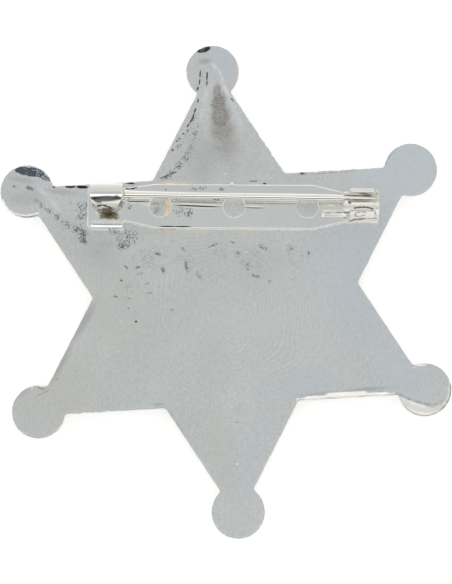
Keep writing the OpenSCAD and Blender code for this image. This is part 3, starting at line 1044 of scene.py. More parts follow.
BAR_MARKS = (
    # Painted reflection: the pale cream of the hinge's sloping tongue.
    MarkGroup("tongue_reflection", (0.93, 0.92, 0.86), (
        Mark(107.5, 207.8, 17.5, 6, 0, 0.95, 0.6),
    ), rough=0.2, metal=0.35),
    MarkGroup("smudges", (0.11, 0.11, 0.12), (
        Mark(194, 190, 7.5, 3, 0, 0.86), Mark(201, 189.2, 11, 4.4, 0, 0.62, 0),
        Mark(221.4, 189.8, 6.4, 3.6, 0, 0.88), Mark(217, 200.1, 4.6, 1.6, 2, 1.1, 0.3),
        Mark(178, 199.4, 8, 1.8, 0, 0.7), Mark(188.4, 213, 7, 9.6, 0, 0.9),
        Mark(179.4, 211.4, 11, 8.5, 0, 0.7, 0), Mark(165.4, 219, 2.2, 3.4, 0, 0.7),
        Mark(129.6, 207.2, 3.2, 3.8, 0, 0.95, 0.2), Mark(165.8, 190.2, 3, 1.8, 0, 0.8),
    ), Grain.DOTTED, 6.4, depth=0.9, stretch=(1.25, 0.5, 1.0)),
    # Painted reflection: the dark band where the hinge's roof bends down into its tongue.
    MarkGroup("hinge_dark_reflection", (0.13, 0.13, 0.125), (
        Mark(107, 204.3, 16.5, 3.5, 1, 0.92, 0.6), Mark(98.5, 205.4, 6.8, 3.6, -16, 0.95, 0.5),
        Mark(116.6, 203.5, 5.2, 3.2, 12, 0.92, 0.5),
    )),
    # Dark blots and yellow-brown tarnish, mostly inside the hinge under the tongue's end, with painted shade
    # mixed in there.
    MarkGroup("hinge_blots_and_shade", (0.09, 0.09, 0.10), (
        *streak(((98, 210.6), (103, 209.8), (108, 210.8), (112.5, 212.4)), 2.2, 1.1, 1.2),
        *streak(((103, 213), (108, 212), (112, 213.4)), 1.8, 0.9, 1.1, 0.3),
    ), Grain.BROKEN, 3.0),
    MarkGroup("hinge_tarnish_and_shade", (0.25, 0.21, 0.12), (
        Mark(109, 215.8, 13.5, 5.6, 0, 1, 0.5), Mark(111, 215.4, 9, 4.4, 0, 1.15, 0.5),
        Mark(116.4, 218.6, 5, 2.6, 0, 1, 0.3), Mark(102, 218.8, 6, 1.8, 0, 0.8, 0.2),
        *streak(((158, 204.8), (154, 205.2)), 2, 0.8, 0.8, 0.2),
    ), Grain.SPECKLED, 6.0, depth=0.97, cloud=2.4),
    MarkGroup("plate_strokes", (0.05, 0.05, 0.06), (
        *streak(((125.4, 189.2), (130, 189.6), (137, 188)), 2, 1.1, 1),
    ), Grain.BROKEN, 4.0),
    # Painted highlights: the white top of the hinge lip, the white lines of the needle's painted reflection
    # in the bar, and the white rims round the holes.
    MarkGroup("bar_highlights", (0.99, 0.98, 0.95), (
        *streak(((91, 222.2), (107, 222.4), (122, 222.6)), 3.4, 0.85, 0.85),
        Mark(131, 203.3, 8.6, 0.85, 0, 0.95, 0.5), Mark(145, 204.9, 7.6, 0.85, -13, 0.95, 0.5),
        Mark(197, 204.8, 29, 1.25, -2.4, 1, 0.6), Mark(254, 207, 13, 0.95, -1.6, 0.9, 0.4),
        Mark(198, 208.3, 26, 0.8, -2.4, 0.55, 0.4),
        *streak(((151.4, 206.6), (153, 210.8), (156.4, 214.4), (161.2, 216.2),
                (166.2, 215)), 2.9, 1, 0.9, 0.5),
        *streak(((223.6, 208), (226.4, 212.4), (230.6, 216), (235.4, 217.6), (240, 216)), 2, 0.9, 0.7, 0.3),
    ), rough=0.2, metal=0.2),
    MarkGroup("needle_shade", (0.63, 0.585, 0.49), (
        Mark(196, 202.9, 34, 3.2, -1, 0.62, 0.3), Mark(262, 203.6, 36, 3, -1, 0.40, 0.2),
    ), Grain.HAZY, 3.4),
    # Painted shade: dark lines at the foot of the hinge lip and along the bar's lower edge, and the dark
    # lines of the needle's painted reflection in the bar.
    MarkGroup("shade_lines", (0.05, 0.05, 0.05), (
        *streak(((91.5, 225.2), (107, 225.5), (122, 225.7)), 1.5, 0.8, 0.8),
        *streak(((160.6, 226.9), (175, 227.1), (190, 227.2)), 1.5, 1, 1, 0.7),
        Mark(197, 206.55, 27.5, 0.85, -2.3, 1, 0.6), Mark(137, 201.9, 14, 0.8, 0, 0.75, 0.4),
        Mark(254, 208.4, 14, 0.75, -1.4, 0.75, 0.4),
    )),
)

HOUSING_MARKS = (
    MarkGroup("housing_haze", (0.96, 0.95, 0.91), (
        Mark(364, 211, 20, 17, 0, 0.88, 0.7),
    ), rough=0.16, metal=0.3),
    # Painted highlight: the white of the housing's foot flange, which faces the light.
    MarkGroup("housing_highlight", (0.99, 0.985, 0.97), (
        Mark(362, 218.4, 19, 4.6, 2, 1, 0.6),
    ), rough=0.1, metal=0.15),
    # Painted shade: the grey rim of a dimple in the housing's flange.
    MarkGroup("dimple_shade", (0.33, 0.34, 0.34), (
        *streak(((354, 220), (355.4, 217.4), (360, 216.6), (366, 217)), 1.9, 1, 0.9, 0.3),
        *streak(((354, 220), (359, 220.6), (365, 219)), 1.6, 0.8, 0.7, 0.3),
    )),
    # Painted shade that dims the strip along the housing's upper rim.
    MarkGroup("housing_flank_shade", (0.60, 0.615, 0.615), (
        Mark(362, 193, 24, 1.9, 0, 1, 0.5),
    )),
    # Painted reflection of the needle in the bar near the catch: a warm band and a bright cream glint.
    MarkGroup("needle_reflection_warm", (0.69, 0.66, 0.57), (
        Mark(334, 202.6, 22, 5.4, 0, 0.45, 0.3), Mark(300, 201.4, 30, 3.4, 0, 0.35),
    ), Grain.HAZY, 4.0, metal=0.8),
    MarkGroup("cream_glint", (0.99, 0.96, 0.80), (
        Mark(331, 206, 5.6, 1.15, 0, 1, 0.5),
    ), metal=0.4),
)

PLATE_MARKS = (
    MarkGroup("quiet_edge", (0.76, 0.77, 0.765), (
        Mark(88.8, 203, 18, 2.2, 90, 0.8, 0.4),
    )),
    # Painted shadow: the dark line under the housing's foot.
    MarkGroup("housing_foot_shadow", (0.05, 0.05, 0.05), (
        *streak(((349, 222), (356, 219.8), (366, 218.9), (377, 218.5)), 1.7, 0.95, 0.85),
    )),
)

CATCH_MARKS = (
    MarkGroup("catch_haze", (0.88, 0.87, 0.83), (
        Mark(361, 204, 27, 14, 0, 1, 0.8), Mark(333, 212.9, 14, 4.6, 0, 0.9, 0.7),
    ), rough=0.16, metal=0.2),
    # Painted shade: dark lines in the gaps round the barrel and under the lever, and a dark spot on the nub.
    MarkGroup("catch_gap_shade", (0.045, 0.04, 0.03), (
        Mark(364.4, 198, 9.4, 0.85, -5, 0.9, 0.4),
        *streak(((353, 204.4), (361, 204), (371, 204.6)), 1.8, 0.55, 0.65, 0.3),
        *streak(((353, 212.9), (357, 212.2), (361, 211.9), (365, 212), (369, 212.7),
                (372.4, 213.8)), 2, 1, 1),
        *streak(((323, 215.3), (333, 215), (343, 214.6)), 1.2, 0.85, 0.85, 0.3),
        Mark(348.6, 207.6, 2.4, 1.8, -30, 1, 0.4),
    )),
)


@dataclass(frozen=True)
class Plating:
    """Bright plating: its colours, its gloss, the marks on it, the light and shade painted on it, and its
    fine relief.
    """

    name: str
    light: Triple
    dark: Triple
    roughness: float
    marks: tuple[MarkGroup, ...] = ()
    grain: float = 0.10
    ripple: float = 0.0
    ripple_tone: float = 0.05
    ripple_period: float = 0.42
    ripple_mid: Pixel = (243.0, 322.0)
    dents: float = 0.0
    dent_size: float = 3.0
    # Painted highlight on the rounded edges.
    edge_glint: float = 0.0
    # Painted shade on the rounded rims.
    shaded_rim: float = 0.0
    rim_marks: tuple[MarkGroup, ...] = ()
    marks_low: float | None = None

    def make(self) -> bpy.types.Material:
        """Makes the material.

        Returns:
            The material with its nodes.
        """
        material, tree = new_material(self.name)
        where = tree.millimetres()
        cloud = tree.noise(where, 0.13, 4.0, 0.6).ease(0.3, 0.7)
        fine = tree.noise(tree.vector("MULTIPLY", where, (1.0, 0.6, 1.0)), 2.8, 4.0, 0.8)
        colour = tree.mix(cloud, self.dark, self.light)
        colour = tree.mix(self.grain, colour, tree.mix(fine, (0.0, 0.0, 0.0), (1.0, 1.0, 1.0)), "OVERLAY")
        rough = fine * 0.06 + (self.roughness - 0.03)
        relief = None
        if self.ripple:
            ripple = self._ripples(tree, where)
            colour = tree.scaled(colour, ripple * self.ripple_tone + 1.0)
            relief = ripple * self.ripple
        if self.dents:
            dents = tree.noise(where, 1 / self.dent_size, 2.0, 0.45) * self.dents
            relief = dents if relief is None else relief + dents
        metal = 1.0
        # Painted highlight: where the normal leans over, the rounded edges turn whiter, less metallic and
        # rougher, in patches.
        if self.edge_glint:
            come_and_go = tree.noise(where, 0.75, 2.0, 0.5).ease(0.36, 0.54)
            edge = self._edge(tree, 0.93, 0.55) * (come_and_go * 0.7 + 0.3) * self.edge_glint
            colour = tree.mix(edge, colour, (0.99, 0.985, 0.965))
            rough = rough + edge * 0.12
            metal = edge * -0.4 + 1.0
        face = 1.0
        if self.marks_low is not None:
            height = tree.node("ShaderNodeSeparateXYZ", None, {0: where}, "Z")
            face = height.ease(self.marks_low, self.marks_low + 0.3)
        for group in self.marks + self.rim_marks:
            # Painted shade on the rims goes in just before the rim marks.
            if self.shaded_rim and group is self.rim_marks[0]:
                colour = self._shade_rim(tree, where, colour)
            factor = self._group(tree, where, group) * face
            colour = tree.mix(factor, colour, group.tint)
            colour.socket.node.label = group.name
            if group.grain is not Grain.SMOOTH or group.metal < 1:
                rough = rough + factor * group.rough
            if group.metal < 1:
                metal = metal - factor * (1 - group.metal)
            # The next group waits for this colour, because Cycles holds few values at once
            where = tree.vector("MULTIPLY_ADD", colour, NEXT_TO_NOTHING, where)
        inputs = {"Base Color": colour, "Metallic": metal, "Roughness": rough}
        if relief is not None:
            bump = {"Height": relief, "Distance": MM, "Strength": 1.0}
            inputs["Normal"] = tree.node("ShaderNodeBump", None, bump)
        tree.surface(inputs)
        return material

    def _edge(self, tree: Tree, low: float, high: float) -> Signal:
        """Finds the rounded rims by the squared rise of their normal.

        Args:
            tree: The shader's tree.
            low: The squared rise where the result is 0.
            high: The squared rise where the result is 1.

        Returns:
            How much each place belongs to a rim.
        """
        normal = tree.node("ShaderNodeTexCoord", None, None, "Normal")
        up = tree.node("ShaderNodeSeparateXYZ", None, {0: normal}, "Z")
        return (up * up).ease(low, high)

    def _shade_rim(self, tree: Tree, where: Signal, colour: Signal) -> Signal:
        """Paints shade on the rounded rim, where its normal leans over.

        Args:
            tree: The shader's tree.
            where: The place on the piece in millimetres.
            colour: The colour so far.

        Returns:
            The colour with the painted rim shade.
        """
        uneven = tree.noise(where, 0.9, 3.0, 0.6).ease(0.3, 0.7)
        rim_shade_colour = tree.mix(uneven, (0.37, 0.375, 0.38), (0.50, 0.505, 0.505))
        return tree.mix(self._edge(tree, 0.93, 0.78) * self.shaded_rim, colour, rim_shade_colour)

    def _group(self, tree: Tree, where: Signal, group: MarkGroup) -> Signal:
        """How much a group of marks covers each place.

        Args:
            tree: The shader's tree.
            where: The place on the piece in millimetres.
            group: The marks.

        Returns:
            The cover, from 0 to the group's depth.
        """
        cover = None
        for mark in group.marks:
            patch = tree.patch(where, mark)
            cover = patch if cover is None else cover.most(patch)
        if group.grain is Grain.SMOOTH:
            return cover
        # A broken mark shows where its cover and the noise together pass a threshold
        if group.grain is Grain.BROKEN:
            grain = tree.noise(where, group.scale, 3.0, 0.65).ease(0.28, 0.72)
            return ((cover * 1.2 + grain - 1.0) * 3.0).ease(0.0, 1.0) * group.depth
        place = tree.vector("MULTIPLY", where, group.stretch)
        grain = tree.noise(place, group.scale, 3.0, 0.7).ease(0.32, 0.68)
        if group.grain is Grain.HAZY:
            return cover * (grain * 0.5 + 0.5) * group.depth
        cloud = tree.noise(where, group.cloud, 2.0, 0.6).ease(0.30, 0.70)
        if group.grain is Grain.DOTTED:
            return ((cover + grain * 1.3 + cloud * 0.3 - 1.4) * 2.2).ease(0.0, 1.0) * group.depth
        broken = (cover * 1.05 + grain * 0.85 + cloud * 0.25 - 1.0) * 1.7
        return broken.ease(0.0, 1.0) * group.depth

    def _ripples(self, tree: Tree, where: Signal) -> Signal:
        """Draws fine curved ripples from polishing.

        Args:
            tree: The shader's tree.
            where: The place on the piece in millimetres.

        Returns:
            Their height, from -1 to 1.
        """
        spot = PHOTO.spot(*self.ripple_mid)
        bend = tree.node("ShaderNodeTexNoise", None, {"Vector": where, "Scale": 0.10, "Detail": 1.0}, "Color")
        shift = tree.scaled(tree.vector("SUBTRACT", bend, (0.5, 0.5, 0.5)), 7.0)
        moved = tree.vector("ADD", where, shift)
        reach = tree.vector("DISTANCE", moved, (spot[0], spot[1], BAR.z), out="Value")
        waves = (reach * (2 * math.pi / self.ripple_period)).sine()
        patchy = tree.noise(where, 0.30, 2.0, 0.5).ease(0.26, 0.56)
        near = tree.vector("DISTANCE", where, (spot[0], spot[1], BAR.z), out="Value").ease(24.0, 6.0)
        return waves * patchy * (near * 0.5 + 0.5)


@dataclass(frozen=True)
class Residue:
    """Amber flux that has set along the bar."""

    name: str = "flux_residue"
    light: Triple = (0.93, 0.83, 0.62)
    dark: Triple = (0.74, 0.57, 0.33)

    def make(self) -> bpy.types.Material:
        """Makes the material.

        Returns:
            The material with its nodes.
        """
        material, tree = new_material(self.name)
        where = tree.millimetres()
        cloud = tree.noise(where, 1.6, 3.0, 0.6).ease(0.3, 0.7)
        colour = tree.mix(cloud, self.dark, self.light)
        inputs = {"Base Color": colour, "Metallic": 0.2, "Roughness": cloud * 0.15 + 0.22}
        tree.surface(inputs)
        return material


@dataclass
class Piece:
    """A finished piece: its body, its slot, its material and the node that it stands for."""

    body: Body
    slot: str
    material: bpy.types.Material
    node: str | None = None

    def finish(self, name: str, *shells: Shell) -> None:
        """Makes a piece from shells, dresses it, ties it to its body and logs it.

        Args:
            name: The piece's name.
            shells: Its closed surfaces.
        """
        made = make_object(name, list(shells))
        made.data.materials.append(self.material)
        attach(made, self.body.value)
        if self.node:
            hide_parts(self.node)
        LOG.info("%s: %d faces on %s", made.name, len(made.data.polygons), self.body.value)


@dataclass
class StarPlate:
    """The stamped star with its disc tips, the valleys of its back and the plain front."""

    tip_reach: float = 27.65
    disc_inset: float = 0.83
    disc_r: float = 3.18
    edge_t: float = 0.9
    rim_r: float = 0.13
    front_z: float = 0.85
    apex_z: float = 0.3
    facet_margin: float = 0.3
    arms: int = 6
    neck_soft: float = 0.42
    notch_soft: float = 0.3
    valley_depth: float = 0.2
    valley_margin: float = 0.3
    valley_start: float = 9.5
    valley_run: float = 7.5
    valley_rise: float = 4.5
    valley_share: tuple[float, ...] = (0.8, 0.12, 0.14, 0.35, 0.15, 0.25)
    crease: float = 0.35
    lip_w: float = 0.14
    lip_rise: float = 0.028
    crescent_bend: float = math.radians(7.5)
    crescent_r: float = 2.76
    edge_bend: float = math.radians(10.0)
    panel_w: float = 27.0
    panel_h: float = 7.4
    panel_y: float = 3.4
    border_inset: float = 1.0
    border_w: float = 0.6
    border_rise: float = 0.2
    rosette_at: tuple[float, float] = (0.7, -14.5)
    rosette_r: float = 0.85
    petal_r: float = 0.45
    rosette_rise: float = 0.25
    ghost: float = 0.006
    burrs: tuple[Triple, ...] = ((266, 149, 4.0), (330, 171, 5.5), (92, 405, 3.5))
    burr_gain: float = 2.0
    waves: tuple[Triple, ...] = ((2.9, 0.011, 0.4), (1.3, 0.010, 1.9), (0.71, 0.008, 3.1))
    outline_gap: float = 0.2
    lip_from: tuple[float, float] = (22.4, 23.6)
    crescent_line: tuple[Pixel, Pixel] = ((397.5, 394.6), (431, 407.2))
    crescent_rise: tuple[Pixel, Pixel] = ((440, 384), (440, 394))
    crescent_left: Pixel = (425, 390)
    crescent_soft: float = 0.05
    rolled_line: tuple[Pixel, Pixel] = ((297, 403), (397, 393.5))
    rolled_w: float = 0.62
    step: float = 0.08

    @property
    def back_z(self) -> float:
        """The height of the back's flat."""
        return self.front_z + self.edge_t

    @property
    def disc_reach(self) -> float:
        """From the star's middle to the middle of an end disc."""
        return self.tip_reach - self.disc_inset

    def arm_frame(self, number: int, points: Array) -> tuple[Array, Array]:
        """Takes places to an arm's own frame.

        Args:
            number: The arm, counted clockwise from the top one as seen from behind.
            points: Places on the flat star.

        Returns:
            How far they lie along the arm, and how far to its right.
        """
        turn = 2 * math.pi * number / self.arms
        ahead = np.array([math.sin(turn), math.cos(turn)])
        right = np.array([math.cos(turn), -math.sin(turn)])
        return points @ ahead, points @ right

    def outline(self) -> Array:
        """Draws the star's outline.

        Returns:
            The closed loop, counter-clockwise.
        """
        notch = self.tip_reach / 2
        # The neck is where an arm's straight edge meets its disc
        slope = math.tan(HALF_TIP)
        a = 1 + slope * slope
        b = -2 * (self.disc_reach + slope * slope * self.tip_reach)
        c = self.disc_reach ** 2 + (slope * self.tip_reach) ** 2 - self.disc_r ** 2
        neck_y = (-b - math.sqrt(b * b - 4 * a * c)) / (2 * a)
        neck_x = (self.tip_reach - neck_y) * slope
        middle_y = (notch + neck_y) / 2
        middle_x = (self.tip_reach - middle_y) * slope
        start = math.degrees(math.atan2(neck_y - self.disc_reach, neck_x))
        disc = arc((0, self.disc_reach), self.disc_r, start, 180 - start, 120)
        arm = np.vstack(([(middle_x, middle_y)], disc, [(-middle_x, middle_y)]))
        arm = soften(arm, len(arm) - 2, self.neck_soft)
        arm = soften(arm, 1, self.neck_soft)
        corner = np.array([[-middle_x, middle_y], [-notch * slope, notch], [0, 0]])
        between = 2 * math.pi / self.arms
        corner[2] = arm[0] @ spin(between)
        corner = soften(corner, 1, self.notch_soft)
        whole = np.vstack((arm, corner[1:-1]))
        parts = [whole @ spin(between * number) for number in range(self.arms)]
        return self._ragged(spread(np.vstack(parts), self.outline_gap))

    def _ragged(self, loop: Array) -> Array:
        """Moves a loop in and out a little, as a blanking tool leaves its edge.

        Args:
            loop: The closed loop's points.

        Returns:
            The loop, with more of it where the tool left burrs.
        """
        out, _ = side_normals(loop)
        steps = np.linalg.norm(np.roll(loop, -1, axis=0) - loop, axis=1)
        run = np.concatenate(([0.0], np.cumsum(steps)[:-1]))
        whole = float(steps.sum())
        wave = np.zeros(len(loop))
        for length, size, shift in self.waves:
            turns = round(whole / length)
            wave += size * np.sin(2 * math.pi * turns * run / whole + shift)
        burr = np.zeros(len(loop))
        for x, y, reach in self.burrs:
            away = np.linalg.norm(loop - PHOTO.spot(x, y), axis=1)
            burr = np.maximum(burr, smooth(reach, 0.4 * reach, away))
        return loop + out * (wave * (1 + self.burr_gain * burr))[:, None]

    def hexagram(self, inset: float) -> Array:
        """Draws a hexagram inside the star.

        Args:
            inset: How far its edges lie inside the star's.

        Returns:
            Its corners.
        """
        reach = self.tip_reach - 2 * inset
        corner = np.arange(2 * self.arms)
        angles = np.radians(90 + 180 / self.arms * corner)
        radii = np.where(corner % 2 == 0, reach, reach / math.sqrt(3))
        return radii[:, None] * np.column_stack((np.cos(angles), np.sin(angles)))

    def back(self, points: Array) -> Array:
        """The height of the back.

        Args:
            points: Places on the flat star.

        Returns:
            The height at each.
        """
        z = np.full(len(points), self.back_z)
        reach = self.tip_reach - 2 * self.valley_margin
        side_y = reach / 2 + self.valley_margin
        side_x = (reach - side_y) / math.sqrt(3)
        for number in range(self.arms):
            along, across = self.arm_frame(number, points)
            widening = (along - self.valley_start) / (side_y - self.valley_start) * side_x
            width = np.minimum(widening, (reach - along) / math.sqrt(3))
            sink = smooth(self.valley_start, self.valley_start + self.valley_run, along)
            sink = sink * smooth(reach, reach - self.valley_rise, along)
            soft = np.sqrt(across ** 2 + self.crease ** 2) - self.crease
            slope = np.clip(1 - soft / np.maximum(width, 0.05), 0, 1)
            z -= self.valley_depth * self.valley_share[number] * sink * slope
        z += self._lip(points) - self._crescent(points) - self._rolled_edge(points) + self._ghost(points)
        return z

    def _lip(self, points: Array) -> Array:
        """The fine raised line where the top arm's valley runs out in its disc.

        Args:
            points: Places on the flat star.

        Returns:
            How high it stands at each.
        """
        along, across = self.arm_frame(0, points)
        reach = self.tip_reach - 2 * self.valley_margin + 0.35
        off = (across - (reach - along) / math.sqrt(3)) * math.cos(HALF_TIP)
        line = np.exp(-(off / self.lip_w) ** 2) * smooth(*self.lip_from, along)
        line = line * smooth(reach + 0.5, reach - 0.3, along)
        return self.lip_rise * line * (across > -0.2)

    def _crescent(self, points: Array) -> Array:
        """Bends the outer part of the lower right disc away from the back.

        Args:
            points: Places on the flat star.

        Returns:
            How far each is bent away.
        """
        start, stop = (PHOTO.spot(*pixel) for pixel in self.crescent_line)
        way = (stop - start) / np.linalg.norm(stop - start)
        past_line = (points - start) @ np.array([way[1], -way[0]])
        along, across = self.arm_frame(2, points)
        far = np.hypot(along - self.disc_reach, across)
        rising = smooth(*(float(PHOTO.spot(*pixel)[1]) for pixel in self.crescent_rise), points[:, 1])
        at_right = points[:, 0] > PHOTO.spot(*self.crescent_left)[0]
        past_arc = np.where(at_right, (far - self.crescent_r) * rising, -1)
        past = np.maximum(np.maximum(past_line, past_arc), 0)
        in_disc = (far < self.disc_r + 0.3) & (along > self.disc_reach - 2.9)
        soft = self.crescent_soft
        bent = math.tan(self.crescent_bend) * (np.sqrt(past ** 2 + soft ** 2) - soft)
        return np.where(in_disc, bent, 0)

    def _rolled_edge(self, points: Array) -> Array:
        """Rolls down the lower edge of the lower right arm.

        Args:
            points: Places on the flat star.

        Returns:
            How far each is rolled down.
        """
        start, stop = (PHOTO.spot(*pixel) for pixel in self.rolled_line)
        way = stop - start
        length = float(np.linalg.norm(way))
        way = way / length
        share = (points - start) @ way / length
        along, across = self.arm_frame(2, points)
        from_edge = ((self.tip_reach - along) * math.tan(HALF_TIP) - across) * math.cos(HALF_TIP)
        wide = self.rolled_w * np.sqrt(np.clip(np.sin(math.pi * np.clip(share, 0, 1)), 0, 1))
        past = np.maximum(wide - from_edge, 0)
        near = (share > 0) & (share < 1) & (across > 0) & (along < self.disc_reach - 2)
        return np.where(near, math.tan(self.edge_bend) * past, 0)

    def _ghost(self, points: Array) -> Array:
        """The faint print of the front's rosette.

        Args:
            points: Places on the flat star.

        Returns:
            How high it stands at each.
        """
        off = points - np.array(self.rosette_at)
        turn = np.arctan2(off[:, 1], off[:, 0])
        far = np.hypot(off[:, 0], off[:, 1])
        edge = self.rosette_r + self.petal_r * (0.45 + 0.55 * np.cos(6 * turn))
        return self.ghost * np.exp(-((far - edge) / 0.12) ** 2)

    def front(self, points: Array) -> Array:
        """The height of the front: low facets, the border line, the blank panel and the rosette.

        Args:
            points: Places on the flat star.

        Returns:
            The height at each.
        """
        reach = self.tip_reach - 2 * self.facet_margin
        facet = np.full(len(points), self.front_z)
        nearest = np.zeros(len(points))
        for number in range(self.arms):
            along, across = self.arm_frame(number, points)
            # An edge's distance from the middle is shared by the facets that meet along a ridge
            share = 1 - (along + np.abs(across) * math.sqrt(3)) / reach
            nearest = np.maximum(nearest, np.where(along > 0, share, 0))
        facet = facet - (self.front_z - self.apex_z) * np.clip(nearest, 0, 1)
        rise = np.zeros(len(points))
        for inset, sign in ((self.border_inset, 1), (self.border_inset + self.border_w, -1)):
            reach_in = self.tip_reach - 2 * inset
            depth = np.full(len(points), -9.0)
            for number in range(self.arms):
                along, across = self.arm_frame(number, points)
                share = (reach_in - along - np.abs(across) * math.sqrt(3)) / 2
                depth = np.maximum(depth, np.where(along > 0, share, -9.0))
            rise += sign * smooth(0, self.step, depth)
        line = self.front_z - self.border_rise * np.clip(rise, 0, 1)
        off = points - np.array(self.rosette_at)
        turn = np.arctan2(off[:, 1], off[:, 0])
        edge = self.rosette_r + self.petal_r * np.abs(np.cos(3 * turn))
        petals = smooth(0, 2 * self.step, edge - np.hypot(off[:, 0], off[:, 1]))
        bloom = self.front_z - self.rosette_rise * petals
        across = self.panel_w / 2 - np.abs(points[:, 0])
        up = self.panel_h / 2 - np.abs(points[:, 1] - self.panel_y)
        panel = self.front_z * (1 - smooth(0, self.step, np.minimum(across, up)))
        return np.minimum.reduce((facet, line, bloom, panel))

    def build(self, finish: Piece) -> None:
        """Makes and dresses the star.

        Args:
            finish: How it is finished.
        """
        lines = []
        for inset in (self.border_inset, self.border_inset + self.border_w):
            for extra in (0, self.step):
                lines.append(spread(self.hexagram(inset + extra), 0.6))
        for extra in (0, self.step):
            w, h = self.panel_w / 2 - extra, self.panel_h / 2 - extra
            low, high = self.panel_y - h, self.panel_y + h
            lines.append(spread(np.array([(-w, low), (w, low), (w, high), (-w, high)]), 0.6))
        sheet = Sheet([self.outline()], self.back, self.front, self.rim_r, self.rim_r, 0.27, 0.42, lines)
        finish.finish("star_plate", sheet.build(lambda points, normals: (points, normals)))


@dataclass
class BroochBar:
    """The bar pin's stamped sheet: its plate, the folded hinge and the catch's housing."""

    sheet_t: float = 0.42
    bar_w: float = 5.46
    neck_w: float = 3.7
    hole_pitch: float = 8.9
    hole_d: float = 2.48
    straight_end: float = 9.55
    pad_start: float = 13.35
    hinge_end: float = -17.7
    catch_end: float = 17.45
    edge_r: float = 0.17
    lip_v: float = -2.64
    wall_v: float = 1.78
    roof_l: float = 3.95
    roof_z: float = 4.17
    lip_h: float = 1.0
    lip_lean: float = 9.0
    corner_r: float = 0.29
    roof_flat: float = 0.5
    roof_lean: float = 5.0
    bend_r: float = 0.99
    tongue_slope: float = 62.0
    tongue_l: float = 1.8
    tongue_reach: float = 1.75
    tongue_top: float = 0.78
    tongue_taper: float = 0.65
    axle_u: float = -13.77
    axle_z: float = 2.17
    rivet_r: float = 0.27
    rivet_bore: float = 0.28
    head_v: float = 0.42
    head_r: float = 0.41
    head_t: float = 0.22
    housing_r: float = 1.84
    housing_u: float = 13.9
    housing_l: float = 2.9
    catch_v: float = 0.2
    catch_z: float = 2.52
    mouth: float = 50.8
    foot_w: float = 1.4

    def plate(self) -> Shell:
        """The flat plate with its three holes.

        Returns:
            The closed surface.
        """
        wall_out = self.wall_v + self.sheet_t
        corners = [
            (self.hinge_end, self.lip_v), (-self.pad_start, self.lip_v), (-self.pad_start, -self.neck_w / 2),
            (-self.straight_end, -self.bar_w / 2), (self.straight_end, -self.bar_w / 2),
            (self.pad_start, -self.neck_w / 2), (self.catch_end, -self.neck_w / 2),
            (self.catch_end, self.neck_w / 2), (self.pad_start, self.neck_w / 2),
            (self.straight_end, self.bar_w / 2), (-self.straight_end, self.bar_w / 2),
            (-self.pad_start, wall_out), (self.hinge_end, wall_out),
        ]
        loops = [rounded(corners, 0.3, 0.4)]
        for number in (-1, 0, 1):
            loops.append(arc((number * self.hole_pitch, 0), self.hole_d / 2, 360, 7.5, 48))
        sheet = Sheet(loops, level(self.sheet_t), level(0.0), self.edge_r, 0.05, 0.5)
        return sheet.build(BAR.to_star)

    def hinge_tab(self) -> Shell:
        """The tab that rises at the bar's upper edge and folds over the needle's eye into a tongue.

        Returns:
            The closed surface.
        """
        t = self.sheet_t
        corner, bend = self.corner_r + t / 2, self.bend_r + t / 2
        rise = self.roof_z - self.corner_r - 0.05
        first, last = 90 - self.roof_lean, self.tongue_slope + self.roof_lean
        fold = Fold((self.wall_v + t / 2, 0.05), 90, [
            (rise, 0), (corner * math.radians(first), first), (self.roof_flat, 0),
            (bend * math.radians(last), last), (self.tongue_l, 0),
        ])
        s = np.linspace(0, fold.length, 90)
        v = fold.v_at(s)
        drop = np.clip((self.tongue_top - v) / self.tongue_reach, 0, 0.999)
        half = self.roof_l / 2 * (1 - drop ** 2) ** self.tongue_taper
        middle = -self.pad_start - self.roof_l / 2
        lower = np.column_stack((s, middle - half))
        upper = np.column_stack((s[::-1], middle + half[::-1]))
        tip = lower[-1]
        cap = np.column_stack((
            tip[0] + 0.12 * np.sin(np.linspace(0, math.pi, 9)[1:-1]),
            middle - half[-1] * np.cos(np.linspace(0, math.pi, 9)[1:-1]),
        ))
        outline = spread(np.vstack((lower, cap, upper)), 0.14)
        bore = arc((self.axle_z - 0.05, self.axle_u), self.rivet_bore, 360, 15, 24)
        return ribbon(fold, [outline, bore], t, 0.1, 0.13)

    def hinge_lip(self) -> Shell:
        """The low lip at the bar's lower edge, under the tongue.

        Returns:
            The closed surface.
        """
        t = self.sheet_t
        fold = Fold((self.lip_v + t / 2, 0.05), 90 + self.lip_lean, [(t + self.lip_h - 0.05, 0)])
        low, high = -self.pad_start - self.roof_l, -self.pad_start
        top = fold.length
        outline = [(0, low), (top, low), (top, high), (0, high)]
        return ribbon(fold, [rounded(outline, 0.2, 0.2)], t, 0.13, 0.25)

    def housing(self) -> list[Shell]:
        """The open tube that the catch's barrel turns in, on its foot.

        Returns:
            The tube and the foot.
        """
        t = self.sheet_t
        middle = self.housing_r - t / 2
        turn = 360 - 2 * self.mouth
        start = math.radians(-self.mouth)
        at = (self.catch_v + middle * math.sin(start), self.catch_z + middle * math.cos(start))
        fold = Fold(at, 180 + self.mouth, [(middle * math.radians(turn), turn)])
        low, high = self.housing_u, self.housing_u + self.housing_l
        outline = rounded([(0, low), (fold.length, low), (fold.length, high), (0, high)], 0.22, 0.15)
        tube = ribbon(fold, [outline], t, 0.12, 0.15)
        foot_z = self.catch_z - self.housing_r + t / 2
        foot_fold = Fold((self.catch_v - self.foot_w / 2, (foot_z + t) / 2), 0, [(self.foot_w, 0)])
        near, far = low + 0.05, high - 0.05
        foot_outline = rounded([(0, near), (self.foot_w, near), (self.foot_w, far), (0, far)], 0.1, 0.4)
        foot = ribbon(foot_fold, [foot_outline], foot_z - t + 0.1, 0.04, 0.4)
        return [tube, foot]

